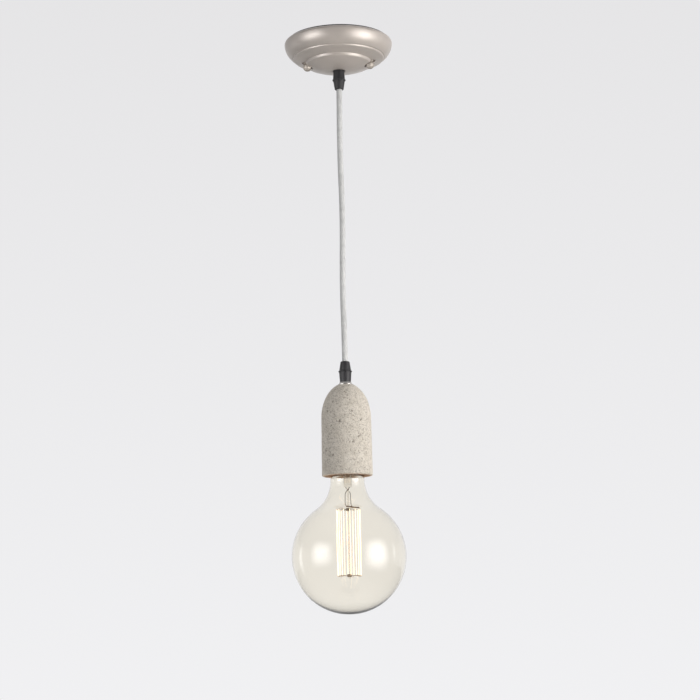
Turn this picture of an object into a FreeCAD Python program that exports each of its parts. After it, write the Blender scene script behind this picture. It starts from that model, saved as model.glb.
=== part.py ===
import FreeCAD, Part
import math
import os

from FreeCAD import Vector

# Pendant ceiling light, in millimetres. The origin is the centre of the ceiling plane, +Z is up and
# the light hangs below it. The mounting bracket and its two studs lie along X.

# ---------------------------------------------------------------- driving dimensions: canopy
SHEET = 1.0                 # canopy sheet thickness
GASKET_T = 1.5              # foam gasket between the canopy's rim and the ceiling
GASKET_R = (53.5, 56.4)     # inside and outside radius
RIM_EDGE_R = 52.5           # edge of the flange that the gasket lies on
RIM_R = 57.1                # radius at which the flange meets the rolled rim
CANOPY_R = 61.0             # widest radius of the canopy
CANOPY_FLAT_Z = -36.5       # outside of the flat at the canopy's lowest point
CANOPY_FLAT_R = 8.5
DOME_EDGE = (35.3, -29.75)  # radius and height of the dome's edge, inside the two steps
CENTRE_SEAT_R = 6.6
CENTRE_SEAT_Z = -33.6       # outside of the raised seat that holds the upper grip
STUD_X = 35.6               # stud and ball nut distance from the axis
SEAT_Z = -24.1              # outside of the pressed seat under each ball nut
SEAT_R = 6.2
BALL_R = 5.0
BALL_Z = -30.0              # centre of the ball nuts
BALL_COLLAR_R = 3.6
WASHER_T = 0.8
STUD_R = 1.95               # M4 shank
STUD_END_Z = -30.9
NUT_BORE_R = 2.05

# bracket
BRACKET_W = 18.0
BRACKET_T = 1.5
BRACKET_HALF = 43.0
BRACKET_FLAT_HALF = 27.5    # half length of the part that lies on the ceiling
BRACKET_STEP = 3.5          # how far the bracket's ends stand off the ceiling
BRACKET_STEP_RUN = 3.0
SLOT_X = 19.0
SLOT_LENGTH = 12.0
SLOT_HALF_WIDTH = 2.3
GROUND_X = -8.3
EYELET_Y = -6.0             # where the earth lead enters its eyelet
EYELET_T = 0.8
LOCKNUT_AF = 7.0
LOCKNUT_H = 3.2

# terminal block
BLOCK_X = (-4.0, 12.0)
BLOCK_HALF_Y = 14.0
BLOCK_H = 13.0
POLE_PITCH = 9.3
POLE_SCREW_X = 4.0          # distance of each pole's two screws from its middle
WIRE_Z = -7.0               # height of the wire holes in the block
WIRE_R = 1.1                # insulated single core
WIRE_OFFSET = 1.6           # distance of each core from the cord's axis

# threaded tubes and their nuts, M10 x 1
NIPPLE_R = 4.9
NIPPLE_BORE_R = 3.6
NIPPLE_HOLE_R = 5.05
NIPPLE_NUT_AF = 14.0
NIPPLE_NUT_H = 3.0
NIPPLE_WASHER_R = 8.2
CANOPY_NIPPLE_TOP_Z = -26.0

# cord grip, measured from its base towards its nose
GRIP_L = 24.6
GRIP_BASE_R = 6.0
GRIP_RING_Z = (12.6, 14.2)
GRIP_RING_R = 7.5
GRIP_THREAD_DEPTH = 9.5
GRIP_FLOOR_Z = 12.2         # where the collet stands in the base
GRIP_SPIGOT_END_Z = 17.7
GRIP_COLLET_END_Z = 21.0
GRIP_BORE_R = 3.3
LOWER_GRIP_BASE_Z = -394.6

# cord
CORD_R = 3.25
CANOPY_TAIL_TOP_Z = -24.0
PIVOT_GAP = 0.25            # clearance of each cup in the cord around the next ball
SECOND_PIVOT_DROP = 26.0
CORD_END_Z = -372.0
# route of the hanging cord: straight out of the grip, then the slight sway left by its packing
CORD_ROUTE = [
    (0.0, 0.0, -60.2),
    (-1.0, 0.0, -128.0),
    (1.0, 0.0, -205.0),
    (-1.1, 0.0, -283.0),
    (0.0, 0.0, -340.0),
    (0.0, 0.0, CORD_END_Z),
]

# concrete shell
SHELL_R_TOP = 27.5          # radius where the dome meets the wall
SHELL_R_BOTTOM = 28.0
SHELL_DOME_H = 39.0
SHELL_DOME_Z = -433.0
SHELL_SEAT_Z = -396.0
SHELL_MOUTH_Z = -497.0
SHELL_BORE_R = 18.8
SHELL_CAVITY_H = 26.0
SHELL_CAVITY_SEAT_Z = -409.8
SHELL_EDGE = 1.6
COLLAR_H = 2.7
COLLAR_R = 8.4
COLLAR_BORE_R = 6.2

# lampholder
HOLDER_R = 18.0
HOLDER_TOP_Z = -438.0
HOLDER_BOSS_R = 8.5
HOLDER_BOSS_Z = -442.0      # where the threaded boss meets the cap's shoulder
HOLDER_SHOULDER_Z = -452.5
HOLDER_ROOF_Z = -446.0      # inside of the cap
HOLDER_SPLIT_Z = -464.0     # where the skirt meets the cap
HOLDER_BOTTOM_Z = -489.0
CORE_TOP_Z = -456.0
CORE_BOTTOM_Z = -466.5
CORE_R = 15.5
LAMP_NIPPLE_END_Z = -446.0
LAMP_TAIL_END_Z = -449.0
HOLDER_TERMINAL_X = 8.0
HOLDER_TERMINAL_Z = -459.0
CONTACT_T = 0.5

# Edison screw, 27 mm
SCREW_PITCH = 3.629
SCREW_MAJOR_R = 13.1
SCREW_ROOT_R = 12.25
SOCKET_MAJOR_R = 13.35
SOCKET_BORE_R = 12.45
SOCKET_OUTER_R = 13.9
SOCKET_TOP_Z = -468.8
SOCKET_FLANGE_T = 0.6
SOCKET_THREAD_TOP_Z = -473.2
CAP_INNER_R = 11.7
CAP_TOP_Z = -470.3
CAP_TOP_R = 8.4
CAP_SKIRT_R = 13.45
INSULATOR_TOP_Z = -468.5
CAP_SHOULDER_Z = -473.0
CAP_THREAD_END_Z = -489.5
CAP_RIM_Z = -493.5
CONTACT_TOP_Z = -467.2

# bulb
BULB_R = 62.5
BULB_Z = -584.5
GLASS_T = 0.7
NECK_R = 19.2               # a point on the conical neck
NECK_Z = -509.9
NECK_SLOPE = 0.13           # growth of the neck's radius for each millimetre down
NECK_TOP_Z = -504.0
NECK_FILLET_R = 38.0
SEAL_R = 11.3               # outside of the tube that joins the neck to the stem's flare
SEAL_Z = -488.4
ARBOR_R = 1.2
STEM_R = 4.5
STEM_TOP_Z = -488.6
STEM_END_Z = -506.5
PINCH_END_Z = -508.9
CAGE_R = 13.0
CAGE_TURN = math.radians(-4)
CAGE_TOP_Z = -532.6
CAGE_BOTTOM_Z = -606.0
CAGE_RUNS = 12
FILAMENT_R = 0.3
SPIDER_INSET = 0.9          # distance of each spider from the filament's bends
HUB_R = 2.4
HUB_HALF_H = 1.4

UP = Vector(0, 0, 1)
AXIS = Vector(0, 0, 0)

os.makedirs("parts", exist_ok=True)


# ---------------------------------------------------------------- helpers
def save(node, shape):
    """Write one sub-part to its own file."""
    shape.exportStep("parts/" + node + ".step")
    print(node, "solids", len(shape.Solids), "valid", shape.isValid(), "volume", round(shape.Volume, 1))


def outline(start, *steps):
    """Edges in the XZ plane. A step is a point for a line, or a pair of points for an arc."""
    edges = []
    here = Vector(start[0], 0, start[1])
    for step in steps:
        if isinstance(step[0], tuple):
            middle = Vector(step[0][0], 0, step[0][1])
            there = Vector(step[1][0], 0, step[1][1])
            edges.append(Part.Arc(here, middle, there).toShape())
        else:
            there = Vector(step[0], 0, step[1])
            edges.append(Part.LineSegment(here, there).toShape())
        here = there
    return edges


def turned(start, *steps):
    """Closed outline in the XZ plane, turned about the Z axis."""
    edges = outline(start, *steps)
    first = Vector(start[0], 0, start[1])
    last = edges[-1].Vertexes[-1].Point
    if last.distanceToPoint(first) > 1e-6:
        edges.append(Part.LineSegment(last, first).toShape())
    face = Part.Face(Part.Wire(edges))
    return face.revolve(AXIS, UP, 360)


def rod(radius, top, bottom, x=0.0, y=0.0):
    """Upright cylinder between two heights."""
    return Part.makeCylinder(radius, top - bottom, Vector(x, y, bottom), UP)


def ring(outer, inner, top, bottom, x=0.0, y=0.0):
    return rod(outer, top, bottom, x, y).cut(rod(inner, top, bottom, x, y))


def box(x, y, z):
    """Box between pairs of limits."""
    size = Vector(x[1] - x[0], y[1] - y[0], z[1] - z[0])
    return Part.makeBox(size.x, size.y, size.z, Vector(x[0], y[0], z[0]))


def group(shapes):
    return Part.makeCompound(shapes)


def mirrored_x(shape):
    return shape.mirror(AXIS, Vector(1, 0, 0))


def moved(shape, x=0.0, y=0.0, z=0.0):
    copy = shape.copy()
    copy.translate(Vector(x, y, z))
    return copy


def hex_nut(across_flats, top, bottom, bore_r, x=0.0):
    """Hexagon nut with its corners chamfered on both faces."""
    corner_r = across_flats / 2 / math.cos(math.radians(30))
    corners = []
    for side in range(7):
        turn = math.radians(60 * side)
        corners.append(Vector(corner_r * math.cos(turn), corner_r * math.sin(turn), bottom))
    prism = Part.Face(Part.makePolygon(corners)).extrude(Vector(0, 0, top - bottom))
    bevel = corner_r - across_flats / 2
    drop = bevel * 0.6
    envelope = turned((0, top), (across_flats / 2, top), (corner_r, top - drop),
                      (corner_r, bottom + drop), (across_flats / 2, bottom), (0, bottom))
    return moved(prism.common(envelope).cut(rod(bore_r, top, bottom)), x)


def pan_screw(shank_r, head_r, head_h, length):
    """Pan-head screw standing on z = 0: its head above, its shank below, with a crossed drive."""
    head = turned((0, 0), (head_r, 0), ((head_r * 0.93, head_h * 0.62), (head_r * 0.55, head_h)),
                  (0, head_h))
    drive_w = head_r * 0.24
    drive_l = head_r * 0.62
    depth = head_h * 0.55
    drive = box((-drive_l, drive_l), (-drive_w, drive_w), (head_h - depth, head_h + 1))
    drive = drive.fuse(box((-drive_w, drive_w), (-drive_l, drive_l), (head_h - depth, head_h + 1)))
    tip = shank_r * 0.35
    shank = turned((0, 0), (shank_r, 0), (shank_r, -length + tip), (shank_r - tip, -length), (0, -length))
    return head.fuse(shank).cut(drive).removeSplitter()


def route_wire(points):
    """Straight runs joined by tangent arcs as large as the two runs allow, with the arcs' radii."""
    points = [Vector(*p) for p in points]
    edges = []
    radii = []
    here = points[0]
    for before, corner, after in zip(points, points[1:], points[2:]):
        into = (corner - before).normalize()
        out = (after - corner).normalize()
        half = into.getAngle(out) / 2
        reach = 0.45 * min((corner - before).Length, (after - corner).Length)
        radius = reach / math.tan(half)
        start = corner - into * reach
        end = corner + out * reach
        inward = (out - into).normalize()
        middle = corner + inward * (radius / math.cos(half) - radius)
        edges.append(Part.LineSegment(here, start).toShape())
        edges.append(Part.Arc(start, middle, end).toShape())
        radii.append(radius)
        here = end
    edges.append(Part.LineSegment(here, points[-1]).toShape())
    return Part.Wire(edges), radii


def tube_along(points, radius):
    """Round bar swept along a route."""
    path, radii = route_wire(points)
    start = Vector(*points[0])
    heading = (Vector(*points[1]) - start).normalize()
    section = Part.Wire(Part.makeCircle(radius, start, heading))
    return path.makePipeShell([section], True, False), path.Length, radii


def thread(crest_r, root_r, sink_r, half_width, bottom, top):
    """Right-handed helical ridge with a round crest. Its phase is set by height alone, so that a
    ridge and a groove made by this function are in mesh."""
    start = -500.0
    turns_up = (bottom - start) / SCREW_PITCH
    helix = Part.makeLongHelix(SCREW_PITCH, top - bottom, crest_r)
    low = Vector(sink_r, 0, -half_width)
    high = Vector(sink_r, 0, half_width)
    low_root = Vector(root_r, 0, -half_width)
    high_root = Vector(root_r, 0, half_width)
    crest = Part.Arc(low_root, Vector(crest_r, 0, 0), high_root).toShape()
    profile = Part.Wire([Part.LineSegment(low, low_root).toShape(), crest,
                         Part.LineSegment(high_root, high).toShape(), Part.LineSegment(high, low).toShape()])
    ridge = Part.Wire(helix).makePipeShell([profile], True, True)
    ridge.rotate(AXIS, UP, 360.0 * (turns_up % 1.0))
    ridge.translate(Vector(0, 0, bottom))
    return ridge


# ---------------------------------------------------------------- canopy group
def dome_middle():
    """A point of the spherical dome between its edge and the flat."""
    edge_r, edge_z = DOME_EDGE
    centre_z = (edge_r ** 2 + edge_z ** 2 - CANOPY_FLAT_R ** 2 - CANOPY_FLAT_Z ** 2) / 2
    centre_z /= edge_z - CANOPY_FLAT_Z
    dome_r = math.hypot(edge_r, edge_z - centre_z)
    middle_r = (edge_r + CANOPY_FLAT_R) / 2
    return (middle_r, centre_z - math.sqrt(dome_r ** 2 - middle_r ** 2))


def canopy_outer_edges():
    """Outside of the canopy from its rim to the hole for the cord's threaded tube."""
    bead = CANOPY_R - RIM_R
    diagonal = bead * math.sqrt(0.5)
    roll = 1.3
    return outline(
        (RIM_EDGE_R, -GASKET_T),
        (RIM_R, -GASKET_T),
        ((RIM_R + diagonal, diagonal - bead - GASKET_T), (CANOPY_R, -bead - GASKET_T)),
        ((58.3, -14.3), (53.2, -20.0)),
        ((52.6, -20.4), (51.9, -20.62)),
        (51.35, -20.75),
        (51.1, -21.7),
        ((50.67, -22.32), (50.0, -22.65)),
        (37.4, -26.2),
        (36.8, -28.6),
        ((36.2, -29.35), DOME_EDGE),
        (dome_middle(), (CANOPY_FLAT_R, CANOPY_FLAT_Z)),
        (CENTRE_SEAT_R + roll, CANOPY_FLAT_Z),
        ((CENTRE_SEAT_R + 0.3 * roll, CANOPY_FLAT_Z + 0.3 * roll), (CENTRE_SEAT_R, CANOPY_FLAT_Z + roll)),
        (CENTRE_SEAT_R, CENTRE_SEAT_Z),
        (NIPPLE_HOLE_R, CENTRE_SEAT_Z))


def turned_under(edges, top_z):
    """Solid between a skin, given from its rim to its centre, and a flat lid at top_z."""
    first = edges[0].Vertexes[0].Point
    last = edges[-1].Vertexes[-1].Point
    corners = [last, Vector(0, 0, last.z), Vector(0, 0, top_z), Vector(first.x, 0, top_z)]
    if abs(first.z - top_z) > 1e-6:
        corners.append(first)
    lid = [Part.LineSegment(a, b).toShape() for a, b in zip(corners, corners[1:])]
    face = Part.Face(Part.Wire(Part.__sortEdges__(edges + lid)))
    return face.revolve(AXIS, UP, 360)


def make_canopy():
    """Pressed bell canopy with a pocket for each ball nut and a hole for the cord's threaded tube."""
    outer_edges = canopy_outer_edges()
    inner_edges = Part.Wire(outer_edges).makeOffset2D(-SHEET, 0, False, True).OrderedEdges
    if inner_edges[0].Vertexes[0].Point.x < inner_edges[-1].Vertexes[-1].Point.x:
        inner_edges.reverse()
    outside = turned_under(outer_edges, -GASKET_T)
    inside = turned_under(inner_edges, 1.0)
    below = CANOPY_FLAT_Z - 5
    for x in (-STUD_X, STUD_X):
        outside = outside.cut(rod(SEAT_R, SEAT_Z, below, x))
        inside = inside.cut(rod(SEAT_R + SHEET, SEAT_Z + SHEET, below, x))
    shell = outside.cut(inside)
    for x in (-STUD_X, STUD_X):
        shell = shell.cut(rod(STUD_R + 0.3, 0, below, x))
    return shell.cut(rod(NIPPLE_HOLE_R, 0, below))


def make_bracket():
    """Steel strap with stepped ends, two slots for ceiling screws and holes for studs and screws."""
    top = [(-BRACKET_HALF, -BRACKET_STEP), (-BRACKET_FLAT_HALF - BRACKET_STEP_RUN, -BRACKET_STEP),
           (-BRACKET_FLAT_HALF, 0), (BRACKET_FLAT_HALF, 0),
           (BRACKET_FLAT_HALF + BRACKET_STEP_RUN, -BRACKET_STEP), (BRACKET_HALF, -BRACKET_STEP)]
    bottom = [(x, z - BRACKET_T) for x, z in reversed(top)]
    strip = [Vector(x, -BRACKET_W / 2, z) for x, z in top + bottom]
    strap = Part.Face(Part.makePolygon(strip + strip[:1])).extrude(Vector(0, BRACKET_W, 0))
    corner_edges = [edge for edge in strap.Edges
                    if abs(edge.CenterOfMass.x) > BRACKET_HALF - 0.01
                    and abs(edge.CenterOfMass.y) > BRACKET_W / 2 - 0.01]
    strap = strap.makeFillet(5.0, corner_edges)
    for x in (-SLOT_X, SLOT_X):
        straight = SLOT_LENGTH / 2 - SLOT_HALF_WIDTH
        strap = strap.cut(box((x - straight, x + straight), (-SLOT_HALF_WIDTH, SLOT_HALF_WIDTH), (-5, 1)))
        strap = strap.cut(rod(SLOT_HALF_WIDTH, 1, -5, x - straight))
        strap = strap.cut(rod(SLOT_HALF_WIDTH, 1, -5, x + straight))
    for x in (-STUD_X, STUD_X):
        strap = strap.cut(rod(STUD_R + 0.1, 0, -8, x))
    strap = strap.cut(rod(2.05, 1, -5, GROUND_X))
    strap = strap.cut(rod(1.55, 1, -5, sum(BLOCK_X) / 2, POLE_PITCH / 2))
    return strap.removeSplitter()


def make_studs():
    """Two long pan-head screws hanging through the bracket's ends."""
    stud = pan_screw(STUD_R, 4.0, 2.4, -BRACKET_STEP - STUD_END_Z)
    return group([moved(stud, x, 0, -BRACKET_STEP) for x in (-STUD_X, STUD_X)])


def make_stud_locknuts():
    top = -BRACKET_STEP - BRACKET_T
    return group([hex_nut(LOCKNUT_AF, top, top - LOCKNUT_H, STUD_R + 0.05, x) for x in (-STUD_X, STUD_X)])


def make_ball_nut(x):
    """Ball nut with a short collar and a blind hole."""
    collar_top = SEAT_Z - WASHER_T
    ball = Part.makeSphere(BALL_R, Vector(x, 0, BALL_Z)).common(
        box((x - BALL_R, x + BALL_R), (-BALL_R, BALL_R), (BALL_Z - BALL_R, BALL_Z + BALL_R * 0.82)))
    nut = ball.fuse(rod(BALL_COLLAR_R, collar_top, BALL_Z, x))
    return nut.cut(rod(NUT_BORE_R, collar_top, STUD_END_Z - 1.0, x)).removeSplitter()


def make_nut_washer(x):
    return ring(4.4, STUD_R + 0.15, SEAT_Z, SEAT_Z - WASHER_T, x)


def make_ground_screw():
    screw = pan_screw(1.95, 3.5, 2.4, 2.25)
    screw.rotate(AXIS, Vector(1, 0, 0), 180)
    return moved(screw, GROUND_X, 0, -BRACKET_T - EYELET_T)


def make_earth_eyelet():
    """Crimped eyelet: a flat ring under the screw and a barrel, bent down, that holds the earth lead."""
    top = -BRACKET_T
    flat = ring(4.0, 2.05, top, top - EYELET_T, GROUND_X)
    neck = box((GROUND_X - 1.2, GROUND_X + 1.2), (-5.0, -3.6), (top - 1.4, top - 0.1))
    barrel = rod(1.7, top - 0.4, top - 3.4, GROUND_X, EYELET_Y)
    hollow = rod(WIRE_R + 0.05, top - 1.0, top - 3.4, GROUND_X, EYELET_Y)
    return flat.fuse(neck).fuse(barrel).cut(hollow).removeSplitter()


def pole_heights():
    return [-POLE_PITCH, 0.0, POLE_PITCH]


def make_terminal_block():
    """Three-pole moulded block hung under the bracket, its screws facing down."""
    top = -BRACKET_T
    body = box(BLOCK_X, (-BLOCK_HALF_Y, BLOCK_HALF_Y), (top - BLOCK_H, top))
    upright = [e for e in body.Edges if abs(e.tangentAt(e.FirstParameter).z) > 0.9]
    body = body.makeFillet(1.5, upright)
    middle = sum(BLOCK_X) / 2
    for y in (-POLE_PITCH / 2, POLE_PITCH / 2):
        body = body.cut(box((BLOCK_X[0], BLOCK_X[1]), (y - 0.7, y + 0.7), (top - BLOCK_H, top - BLOCK_H + 3)))
        body = body.cut(rod(1.6, top, top - BLOCK_H, middle, y))
    body = body.cut(rod(2.8, top - BLOCK_H + 5, top - BLOCK_H, middle, POLE_PITCH / 2))
    for y in pole_heights():
        start = Vector(BLOCK_X[0], y, WIRE_Z)
        body = body.cut(Part.makeCylinder(2.9, BLOCK_X[1] - BLOCK_X[0], start, Vector(1, 0, 0)))
        for x in (middle - POLE_SCREW_X, middle + POLE_SCREW_X):
            body = body.cut(rod(1.9, WIRE_Z, top - BLOCK_H, x, y))
    return body.removeSplitter()


def make_terminal_inserts():
    """Brass tubes that clamp the wires inside the block."""
    inserts = []
    middle = sum(BLOCK_X) / 2
    for y in pole_heights():
        start = Vector(BLOCK_X[0] + 2, y, WIRE_Z)
        tube = Part.makeCylinder(2.85, BLOCK_X[1] - BLOCK_X[0] - 4, start, Vector(1, 0, 0))
        tube = tube.cut(Part.makeCylinder(1.5, BLOCK_X[1] - BLOCK_X[0] - 4, start, Vector(1, 0, 0)))
        for x in (middle - POLE_SCREW_X, middle + POLE_SCREW_X):
            tube = tube.cut(rod(1.3, WIRE_Z, WIRE_Z - 4, x, y))
        inserts.append(tube)
    return group(inserts)


def make_terminal_screws():
    """Six clamping screws and the long screw that holds the block to the bracket."""
    screws = []
    middle = sum(BLOCK_X) / 2
    clamp = pan_screw(1.25, 1.8, 1.4, 2.6)
    clamp.rotate(AXIS, Vector(1, 0, 0), 180)
    for y in pole_heights():
        for x in (middle - POLE_SCREW_X, middle + POLE_SCREW_X):
            screws.append(moved(clamp, x, y, WIRE_Z - 3.8))
    fixing = pan_screw(1.5, 2.6, 1.8, BLOCK_H - 5 + BRACKET_T - 0.1)
    fixing.rotate(AXIS, Vector(1, 0, 0), 180)
    screws.append(moved(fixing, middle, POLE_PITCH / 2, -BRACKET_T - BLOCK_H + 5))
    return group(screws)


def make_canopy_leads():
    """Cores from the cord to the block, and the earth lead from the block to the bracket's screw."""
    top = CANOPY_TAIL_TOP_Z
    end = BLOCK_X[0] + 1.9
    routes = [
        [(0, WIRE_OFFSET, top), (0, WIRE_OFFSET, top + 5), (-8, 6.5, -16.5),
         (-12.5, POLE_PITCH, -8), (end, POLE_PITCH, WIRE_Z)],
        [(0, -WIRE_OFFSET, top), (0, -WIRE_OFFSET, top + 5), (-9, -0.8, -17.5),
         (-14.5, 0, -9), (end, 0, WIRE_Z)],
        [(GROUND_X, EYELET_Y, -BRACKET_T - 1.1), (GROUND_X, EYELET_Y, -8.2),
         (end, -POLE_PITCH, WIRE_Z)],
    ]
    leads = []
    for route in routes:
        insulation, _, _ = tube_along(route, WIRE_R)
        bare = Part.makeCylinder(0.5, 5.0, Vector(end - 0.4, route[-1][1], WIRE_Z), Vector(1, 0, 0))
        leads.append(insulation.fuse(bare))
    return leads


def toothed_washer(outer, inner, top, bottom):
    """Lock washer with a ring of small outer teeth."""
    washer = ring(outer, inner, top, bottom)
    for tooth in range(16):
        turn = math.radians(22.5 * tooth)
        washer = washer.cut(rod(0.7, top, bottom, outer * math.cos(turn), outer * math.sin(turn)))
    return washer


# ---------------------------------------------------------------- cord grips
def make_grip_base():
    """Base with a female thread, an outer ring and a spigot for the nose. Base at z = 0, nose up."""
    ring_low, ring_high = GRIP_RING_Z
    ring_mid = (ring_low + ring_high) / 2
    return turned(
        (NIPPLE_R + 0.05, 0), (GRIP_BASE_R - 0.4, 0), (GRIP_BASE_R, 0.5),
        (GRIP_BASE_R + 0.8, ring_low), (GRIP_RING_R - 0.5, ring_low),
        ((GRIP_RING_R, ring_mid), (GRIP_RING_R - 0.5, ring_high)),
        (4.8, ring_high), (4.8, GRIP_SPIGOT_END_Z), (4.0, GRIP_SPIGOT_END_Z), (4.0, GRIP_FLOOR_Z - 0.1),
        (GRIP_BORE_R + 0.2, GRIP_FLOOR_Z - 0.1), (GRIP_BORE_R + 0.2, GRIP_THREAD_DEPTH),
        (NIPPLE_R + 0.05, GRIP_THREAD_DEPTH))


def make_grip_nose():
    """Tapered cap that screws over the spigot and squeezes the collet."""
    ring_high = GRIP_RING_Z[1]
    body = turned(
        (4.85, ring_high), (6.6, ring_high), (5.15, GRIP_L - 1.2), ((4.9, GRIP_L - 0.4), (4.3, GRIP_L)),
        (GRIP_BORE_R + 0.25, GRIP_L), (GRIP_BORE_R + 0.15, GRIP_L - 0.5),
        (GRIP_BORE_R + 0.15, GRIP_COLLET_END_Z + 0.7), (4.35, GRIP_SPIGOT_END_Z + 0.5),
        (4.85, GRIP_SPIGOT_END_Z + 0.5))
    flute_r = 8.0
    for flute in range(8):
        turn = math.radians(45 * flute + 22.5)
        reach = 6.15 + flute_r
        cutter = rod(flute_r, GRIP_L - 2.5, ring_high + 1.4, reach * math.cos(turn), reach * math.sin(turn))
        body = body.cut(cutter)
    return body.removeSplitter()


def make_grip_collet():
    """Slit sleeve that closes on the cord."""
    end = GRIP_COLLET_END_Z
    sleeve = turned((GRIP_BORE_R, GRIP_FLOOR_Z), (3.95, GRIP_FLOOR_Z), (3.95, end - 2.2),
                    (GRIP_BORE_R + 0.3, end), (GRIP_BORE_R, end))
    for turn in (0, 45, 90, 135):
        slit = box((-5, 5), (-0.25, 0.25), (GRIP_FLOOR_Z + 2.4, end + 1))
        slit.rotate(AXIS, UP, turn)
        sleeve = sleeve.cut(slit)
    return sleeve


def hung_below(shape, z):
    """Grip part turned nose down, with its base at height z."""
    copy = shape.copy()
    copy.rotate(AXIS, Vector(1, 0, 0), 180)
    return moved(copy, z=z)


# ---------------------------------------------------------------- cord
def make_cord_pieces():
    """The hanging cord, cut square at its second pivot, with a round head on top of each piece."""
    tube, length, radii = tube_along(CORD_ROUTE, CORD_R)
    section = math.pi * CORD_R ** 2
    print("cord length", round(length, 2), "arc radii", [round(r, 1) for r in radii])
    print("cord volume", round(tube.Volume, 1), "section times length", round(section * length, 1))
    first = Vector(*CORD_ROUTE[0])
    heading = (Vector(*CORD_ROUTE[1]) - first).normalize()
    second = first + heading * SECOND_PIVOT_DROP
    print("second pivot", round(second.x, 3), round(second.z, 3))
    short_run = Part.makeCylinder(CORD_R, SECOND_PIVOT_DROP, first, heading)
    cut_zone = Part.makeCylinder(2 * CORD_R, SECOND_PIVOT_DROP + CORD_R, second, heading * -1)
    top = short_run.cut(Part.makeSphere(CORD_R + PIVOT_GAP, second))
    top = top.fuse(round_head(first, heading))
    main = tube.cut(cut_zone).fuse(round_head(second, heading))
    return top, main


def round_head(centre, heading):
    """Half ball on the end of the cord."""
    return Part.makeSphere(CORD_R, centre, heading * -1, 0, 90, 360)


# ---------------------------------------------------------------- lamp group
def ellipse_edge(half_width, half_height, centre_z, from_z, to_z):
    """Quarter-ellipse edge on the +X side, between two heights above its centre."""
    centre = Vector(0, 0, centre_z)
    curve = Part.Ellipse(Vector(0, 0, centre_z + half_height), Vector(half_width, 0, centre_z), centre)
    start = math.acos((from_z - centre_z) / half_height)
    end = math.acos((to_z - centre_z) / half_height)
    return Part.Arc(curve, start, end).toShape()


def make_concrete_shell():
    """Cast bullet-shaped shell: an elliptical dome on a slightly flared wall, open below."""
    outer = ellipse_edge(SHELL_R_TOP, SHELL_DOME_H, SHELL_DOME_Z, SHELL_SEAT_Z, SHELL_DOME_Z)
    inner = ellipse_edge(SHELL_BORE_R, SHELL_CAVITY_H, SHELL_DOME_Z, SHELL_CAVITY_SEAT_Z, SHELL_DOME_Z)
    seat_r = max(v.Point.x for v in outer.Vertexes if v.Point.z > SHELL_DOME_Z + 1)
    cavity_seat_r = max(v.Point.x for v in inner.Vertexes if v.Point.z > SHELL_DOME_Z + 1)
    wall = outline(
        (SHELL_R_TOP, SHELL_DOME_Z), (SHELL_R_BOTTOM, SHELL_MOUTH_Z + SHELL_EDGE),
        ((SHELL_R_BOTTOM - 0.45, SHELL_MOUTH_Z + 0.45), (SHELL_R_BOTTOM - SHELL_EDGE, SHELL_MOUTH_Z)),
        (SHELL_BORE_R + 0.8, SHELL_MOUTH_Z), (SHELL_BORE_R, SHELL_MOUTH_Z + 0.8),
        (SHELL_BORE_R, SHELL_DOME_Z))
    top = outline((cavity_seat_r, SHELL_CAVITY_SEAT_Z), (NIPPLE_HOLE_R + 0.2, SHELL_CAVITY_SEAT_Z),
                  (NIPPLE_HOLE_R + 0.2, SHELL_SEAT_Z), (seat_r, SHELL_SEAT_Z))
    edges = Part.__sortEdges__([outer, inner] + wall + top)
    return Part.Face(Part.Wire(edges)).revolve(AXIS, UP, 360)


def make_shell_collar():
    """Plated cup washer between the lower grip and the concrete."""
    top = SHELL_SEAT_Z + COLLAR_H
    floor = LOWER_GRIP_BASE_Z - 0.05
    return turned(
        (COLLAR_BORE_R, top), (COLLAR_BORE_R + 0.5, top), ((7.35, top - 1.5), (COLLAR_R, SHELL_SEAT_Z + 0.3)),
        (COLLAR_R, SHELL_SEAT_Z), (NIPPLE_HOLE_R, SHELL_SEAT_Z), (NIPPLE_HOLE_R, floor),
        (COLLAR_BORE_R, floor))


def make_holder_cap():
    """Upper half of the lampholder, with a threaded boss for the tube."""
    roof = HOLDER_ROOF_Z
    return turned(
        (NIPPLE_R + 0.05, HOLDER_TOP_Z), (HOLDER_BOSS_R - 0.5, HOLDER_TOP_Z),
        (HOLDER_BOSS_R, HOLDER_TOP_Z - 0.5), (HOLDER_BOSS_R, HOLDER_BOSS_Z),
        ((15.4, HOLDER_BOSS_Z - 3.6), (HOLDER_R, HOLDER_SHOULDER_Z)), (HOLDER_R, HOLDER_SPLIT_Z),
        (CORE_R + 0.2, HOLDER_SPLIT_Z), (CORE_R + 0.2, HOLDER_SHOULDER_Z - 0.5),
        ((14.0, roof - 2.0), (8.0, roof)), (7.0, roof), (7.0, roof - 1.5), (NIPPLE_R + 0.05, roof - 1.5))


def make_holder_core():
    """Insulating block that carries the contacts and the terminals."""
    core = rod(CORE_R, CORE_TOP_Z, CORE_BOTTOM_Z)
    core = core.cut(rod(3.0, CORE_TOP_Z, CORE_TOP_Z - 4))
    for x in (-HOLDER_TERMINAL_X, HOLDER_TERMINAL_X):
        core = core.cut(rod(WIRE_R + 0.15, CORE_TOP_Z, CORE_TOP_Z - 5, x))
        side = 1 if x > 0 else -1
        start = Vector(x + side * 1.6, 0, HOLDER_TERMINAL_Z)
        core = core.cut(Part.makeCylinder(1.6, 9, start, Vector(side, 0, 0)))
    return core


def make_holder_screws():
    """Terminal screws driven in from both sides of the core."""
    screw = pan_screw(1.5, 1.55, 1.2, 3.6)
    screw.rotate(AXIS, Vector(0, 1, 0), 90)
    screw = moved(screw, CORE_R - 1.6, 0, HOLDER_TERMINAL_Z)
    return group([screw, mirrored_x(screw)])


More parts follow.
